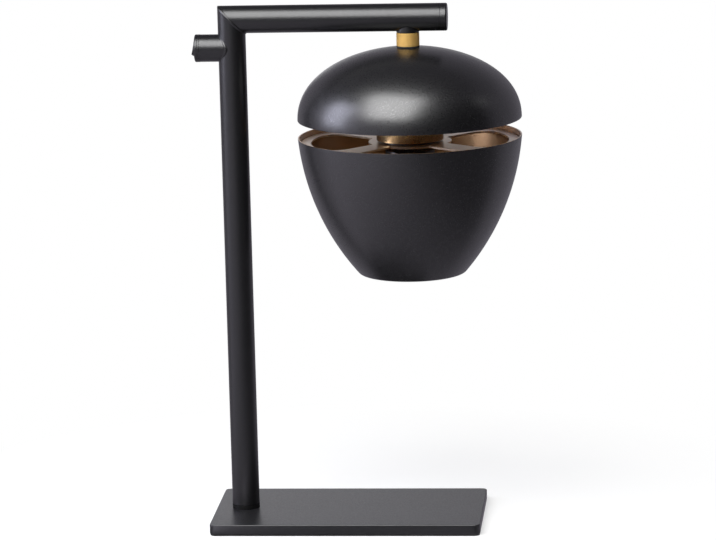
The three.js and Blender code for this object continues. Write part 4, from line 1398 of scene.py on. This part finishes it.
@dataclass
class Shade:
    """The dome over the bowl, and what holds them together."""

    radius: float = 89.2
    wall: float = 1.2
    dome_lip: float = 328.2
    dome_rise: float = 56.9
    dome_square: float = 2.15
    washer_thickness: float = 0.8
    bowl_rim: float = 314.0
    side_radius: float = 195.0
    turn_radius: float = 43.7
    turn_drop: float = 108.9
    bowl_edge: float = 5.0
    bowl_lip: float = 3.2
    spider_thickness: float = 1.5
    spider_radius: float = 86.8
    spider_edge: float = 0.25
    spider_turn: float = 4.0  # degrees
    window_outer: float = 78.8
    hub_radius: float = 33.1
    spoke_width: float = 20.0
    outer_fillet: float = 14.0
    inner_fillet: float = 0.7
    windows: int = 4
    cup_radius: float = 26.7
    cup_wall: float = 1.0
    cup_low: float = 311.2
    cup_top: float = 381.3
    cup_shoulder: float = 3.0
    sides: int = 160
    side_steps: int = 40
    round_steps: int = 8
    window_steps: int = 12

    def washer(self) -> BMesh:
        """Makes the thin washer between the collar and the dome.

        Returns:
            The washer.
        """
        low, high = DATUM.collar_low - self.washer_thickness, DATUM.collar_low
        mesh = tube(DATUM.nipple_hole, DATUM.hanger_radius, low, high)
        return placed(mesh, DATUM.shade_axis())

    def shell(self, line: Profile, height: float) -> BMesh:
        """Spins a shell with eased lips and gives its inside the second finish.

        Args:
            line: the shell's section.
            height: of the point of the axis that its inside looks at.

        Returns:
            The shell on the shade's axis.
        """
        mesh = eased(spun(line, self.sides), SMALL_EDGE, 2)
        middle = Vector((0, 0, height))
        for face in mesh.faces:
            inside = face.normal.dot(face.calc_center_median() - middle) < 0
            face.material_index = 1 if inside else 0
        return placed(mesh, DATUM.shade_axis())

    def dome_line(self, inset: float, steps: int = 56) -> Profile:
        """Draws the dome in section: half of a flattened oval with a full shoulder.

        Args:
            inset: how far the line lies inside the outer face.
            steps: how many stretches it has.

        Returns:
            (radius, height) points from the lip up to the hole.
        """
        radius, rise = self.radius - inset, self.dome_rise - inset
        end = math.acos(DATUM.nipple_hole / radius)
        points = []
        for step in range(steps + 1):
            angle = end * step / steps
            lift = rise * math.sin(angle) ** (2 / self.dome_square)
            points.append((radius * math.cos(angle), self.dome_lip + lift))
        return points

    def dome(self) -> BMesh:
        """Returns the dome, whose inside looks at the bowl's rim."""
        return self.shell(self.dome_line(0) + self.dome_line(self.wall)[::-1], self.bowl_rim)

    def bowl_line(self, inset: float) -> Profile:
        """Draws the bowl in section: its side, a round lower edge and a lip turned inwards.

        Args:
            inset: how far the line lies inside the outer face.

        Returns:
            (radius, height) points from the rim down.
        """
        rim = Vector((self.radius, self.bowl_rim))
        turn = Vector((self.turn_radius, self.bowl_rim - self.turn_drop))
        chord = turn - rim
        depth = math.sqrt(self.side_radius**2 - chord.length_squared / 4)
        centre = (rim + turn) / 2 + Vector((chord.y, -chord.x)).normalized() * depth
        start = math.atan2(rim.y - centre.y, rim.x - centre.x)
        end = math.atan2(turn.y - centre.y, turn.x - centre.x)
        side = arc(centre, self.side_radius - inset, start, end, self.side_steps)
        edge_centre = centre + (turn - centre).normalized() * (self.side_radius - self.bowl_edge)
        edge = arc(edge_centre, self.bowl_edge - inset, end, -QUARTER_TURN, self.round_steps)
        lip = (edge_centre.x - self.bowl_lip, edge_centre.y - self.bowl_edge + inset)
        return [*side, *edge[1:], lip]

    def bowl(self) -> BMesh:
        """Makes the bowl, which is open at its bottom and whose inside looks at the dome's lip.

        Returns:
            The bowl.
        """
        inner = self.bowl_line(self.wall)
        inner[0] = (inner[0][0], self.bowl_rim)
        return self.shell(self.bowl_line(0) + inner[::-1], self.dome_lip)

    def window_line(self) -> Profile:
        """Draws the outline of a window about +X: two arcs, two spokes, round corners.

        Returns:
            (x, y) points in order round the window.
        """
        half, steps = self.spoke_width / 2, self.window_steps

        def corner(radius: float, fillet: float) -> Vector:
            """Finds the centre of a round corner that touches a spoke.

            Args:
                radius: how far from the axis it lies.
                fillet: the corner's own radius.

            Returns:
                The centre.
            """
            off = half + fillet
            run = math.sqrt(radius * radius - off * off)
            return Vector((run + off, run - off)) * math.sqrt(0.5)

        def angle(point: Vector) -> float:
            """Returns a point's angle about the axis."""
            return math.atan2(point.y, point.x)

        far = corner(self.window_outer - self.outer_fillet, self.outer_fillet)
        near = corner(self.hub_radius + self.inner_fillet, self.inner_fillet)
        spoke = math.radians(135)
        upper = [
            *arc((0, 0), self.window_outer, 0, angle(far), steps),
            *arc(far, self.outer_fillet, angle(far), spoke, steps)[1:],
            *arc(near, self.inner_fillet, spoke, math.pi + angle(near), steps // 2),
            *arc((0, 0), self.hub_radius, angle(near), 0, steps)[1:],
        ]
        return upper + [(x, -y) for x, y in upper[-2:0:-1]]

    def window(self, low: float) -> BMesh:
        """Makes what cuts a window about +X.

        Args:
            low: the height of the plate's underside.

        Returns:
            The cutter, which runs past the plate on both sides.
        """
        mesh = bmesh.new()
        points = [mesh.verts.new((x, y, low - OVERRUN)) for x, y in self.window_line()]
        grown = bmesh.ops.extrude_face_region(mesh, geom=[mesh.faces.new(points)])["geom"]
        moved = [item for item in grown if isinstance(item, BMVert)]
        rise = Vector((0, 0, self.spider_thickness + OVERRUN * 2))
        bmesh.ops.translate(mesh, vec=rise, verts=moved)
        return mesh

    def spider(self) -> BMesh:
        """Makes the plate with four windows that carries the bowl.

        Returns:
            The plate.
        """
        low, bore = DATUM.spider_top - self.spider_thickness, DATUM.skirt_radius + GAP
        mesh = tube(bore, self.spider_radius, low, DATUM.spider_top, SEAT_SIDES)
        turns = [FULL_TURN * step / self.windows for step in range(self.windows)]
        windows = [outward(turned(self.window(low), turn)) for turn in turns]
        mesh = eased(combined(mesh, Boolean.CUT, *windows), self.spider_edge, 2)
        return placed(turned(mesh, math.radians(self.spider_turn)), DATUM.shade_axis())

    def cup(self) -> BMesh:
        """Makes the cup over the lamp holder, with eased edges.

        Returns:
            The cup.
        """
        radius, wall, top, bore = self.cup_radius, self.cup_wall, self.cup_top, DATUM.nipple_hole
        shoulder = (radius - self.cup_shoulder, top - self.cup_shoulder)
        bend, steps = self.cup_shoulder, self.round_steps
        line = [(radius, self.cup_low), *arc(shoulder, bend, 0, QUARTER_TURN, steps)]
        line += [(bore, top), (bore, top - wall)]
        line += arc(shoulder, bend - wall, QUARTER_TURN, 0, steps)
        line += [(radius - wall, self.cup_low)]
        return placed(eased(spun(line, TUBE_SIDES), SMALL_EDGE, 3), DATUM.shade_axis())

    def build(self) -> None:
        """Makes the shade's pieces."""
        add_piece("dome_washer", self.washer(), Body.SHADE, Slot.RUBBER, CUT_RUBBER)
        add_piece("dome", self.dome(), Body.SHADE, Slot.ENAMEL, SHADE_ENAMEL, SHELL_LACQUER)
        add_piece("bowl", self.bowl(), Body.SHADE, Slot.ENAMEL, SHADE_ENAMEL, SHELL_LACQUER)
        add_piece("spider", self.spider(), Body.SHADE, Slot.BRONZE, PRESSED_LACQUER)
        add_piece("socket_cup", self.cup(), Body.SHADE, Slot.BRONZE, DRAWN_BRONZE)
        dress_node(ZINC_PLATE, "cup_spacer", "cup_nut")


@dataclass
class LampHolder:
    """The screw-in lamp holder. Heights are from the spider's upper face."""

    skirt_drop: float = 13.0
    skirt_chamfer: float = 0.6
    flange_radius: float = 22.5
    flange_height: float = 2.5
    body_radius: float = 19.5
    body_height: float = 20.6
    bore: float = 15.0
    cap_height: float = 47.6
    shoulder_height: float = 30.6
    neck_height: float = 42.6
    neck_radius: float = 8.0
    cap_wall: float = 1.5
    thread_depth: float = 0.35
    thread_pitch: float = 2.0
    nut_radius: float = 25.0
    nut_height: float = 3.2
    nut_top: float = -1.8
    nut_sides: int = 120
    notches: int = 30
    notch_radius: float = 0.9
    notch_out: float = 0.35  # from the nut's edge out to a notch's middle
    notch_sides: int = 16

    def body(self) -> BMesh:
        """Makes the body, with a thread on its skirt for the ring nut.

        Returns:
            The body.
        """
        skirt, bottom, pitch = DATUM.skirt_radius, -self.skirt_drop, self.thread_pitch
        line = [(self.bore, bottom), (skirt - self.skirt_chamfer, bottom)]
        height = pitch / 2 - self.skirt_drop
        while height < -pitch:
            line += [(skirt, height), (skirt - self.thread_depth, height + pitch / 2)]
            height += pitch
        flange, above = self.flange_radius, self.flange_height
        line += [(skirt, 0), (flange, 0), (flange, above), (self.body_radius, above)]
        line += [(self.body_radius, self.body_height), (self.bore, self.body_height)]
        return placed(spun(line), DATUM.shade_axis(DATUM.spider_top))

    def cap(self) -> BMesh:
        """Makes the cap that closes the holder's top.

        Returns:
            The cap.
        """
        wall, outer, hole, neck = self.cap_wall, self.body_radius, DATUM.nipple_hole, self.neck_radius
        foot, shoulder, neck_low = self.body_height, self.shoulder_height, self.neck_height
        line = [(outer, foot), (outer, shoulder), (neck, neck_low), (neck, self.cap_height)]
        line += [(hole, self.cap_height), (hole, neck_low), (neck, neck_low - wall * 2)]
        line += [(outer - wall, shoulder - wall), (outer - wall, foot)]
        return placed(spun(line), DATUM.shade_axis(DATUM.spider_top))

    def nut(self) -> BMesh:
        """Makes the ring nut under the spider, with grip notches round its edge.

        Returns:
            The nut.
        """
        low = self.nut_top - self.nut_height
        bore = DATUM.skirt_radius + GAP
        mesh = tube(bore, self.nut_radius, low, self.nut_top, self.nut_sides)
        eased(mesh, LARGE_EDGE, 3)
        reach = self.nut_radius + self.notch_out
        tools = []
        for step in range(self.notches):
            turn = FULL_TURN * step / self.notches
            tool = rod(self.notch_radius, low - OVERRUN, self.nut_top + OVERRUN, self.notch_sides)
            tools.append(placed(tool, (reach * math.cos(turn), reach * math.sin(turn), 0)))
        mesh = combined(mesh, Boolean.CUT, *tools)
        return placed(mesh, DATUM.shade_axis(DATUM.spider_top))

    def build(self) -> None:
        """Makes the holder's pieces."""
        add_piece("holder_body", self.body(), Body.SHADE, Slot.PLASTIC, MOULDED_PHENOLIC)
        add_piece("holder_cap", self.cap(), Body.SHADE, Slot.PLASTIC, MOULDED_PHENOLIC)
        add_piece("ring_nut", self.nut(), Body.SHADE, Slot.PLASTIC, MOULDED_PHENOLIC)
        dress_node(FIRED_STEATITE, "holder_insert")
        dress_node(STAMPED_BRASS, "screw_shell", "centre_contact")


@dataclass
class Bulb:
    """The bulb. Heights are from the spider's upper face."""

    housing_top: float = -12.6
    housing_length: float = 20.0
    housing_radius: float = 21.0
    neck_radius: float = 13.2
    globe_radius: float = 22.5
    globe_wall: float = 1.2
    globe_steps: int = 32

    def housing(self) -> BMesh:
        """Makes the housing, a cone with eased edges.

        Returns:
            The housing.
        """
        top, low = self.housing_top, self.housing_top - self.housing_length
        line = [(0, low), (self.housing_radius, low), (self.neck_radius, top), (0, top)]
        mesh = eased(spun(line, closed=False), LARGE_EDGE, 3)
        return placed(mesh, DATUM.shade_axis(DATUM.spider_top))

    def globe(self) -> BMesh:
        """Makes the globe, an open-topped ball that meets the housing.

        Returns:
            The globe.
        """
        top = self.housing_top - self.housing_length - GAP
        mouth = math.acos(self.housing_radius / self.globe_radius)
        centre = (0, top - self.globe_radius * math.sin(mouth))
        steps, inside = self.globe_steps, self.globe_radius - self.globe_wall
        outer = arc(centre, self.globe_radius, -QUARTER_TURN, mouth, steps)
        inner = arc(centre, inside, mouth, -QUARTER_TURN, steps)
        return placed(spun(outer + inner, closed=False), DATUM.shade_axis(DATUM.spider_top))

    def build(self) -> None:
        """Makes the bulb's pieces."""
        add_piece("bulb_housing", self.housing(), Body.SHADE, Slot.HOUSING, MOULDED_PBT)
        add_piece("bulb_globe", self.globe(), Body.SHADE, Slot.OPAL, OPAL_GLOBE)
        dress_node(ZINC_PLATE, "bulb_cap")
        dress_node(STAMPED_BRASS, "bulb_contact")


def main() -> None:
    """Builds the camera, the studio and each sub-assembly, in that order."""
    logging.basicConfig(level=logging.INFO, format="%(message)s")
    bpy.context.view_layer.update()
    bpy.context.scene.view_settings.view_transform = "Standard"
    PhotoCamera().build()
    Studio().build()
    for assembly in (
        Base(), Upright(), Arm(), Switch(), Wiring(), Hanger(), Shade(), LampHolder(), Bulb()
    ):
        log.info("Building %s", type(assembly).__name__)
        assembly.build()


if __name__ == "__main__":
    main()
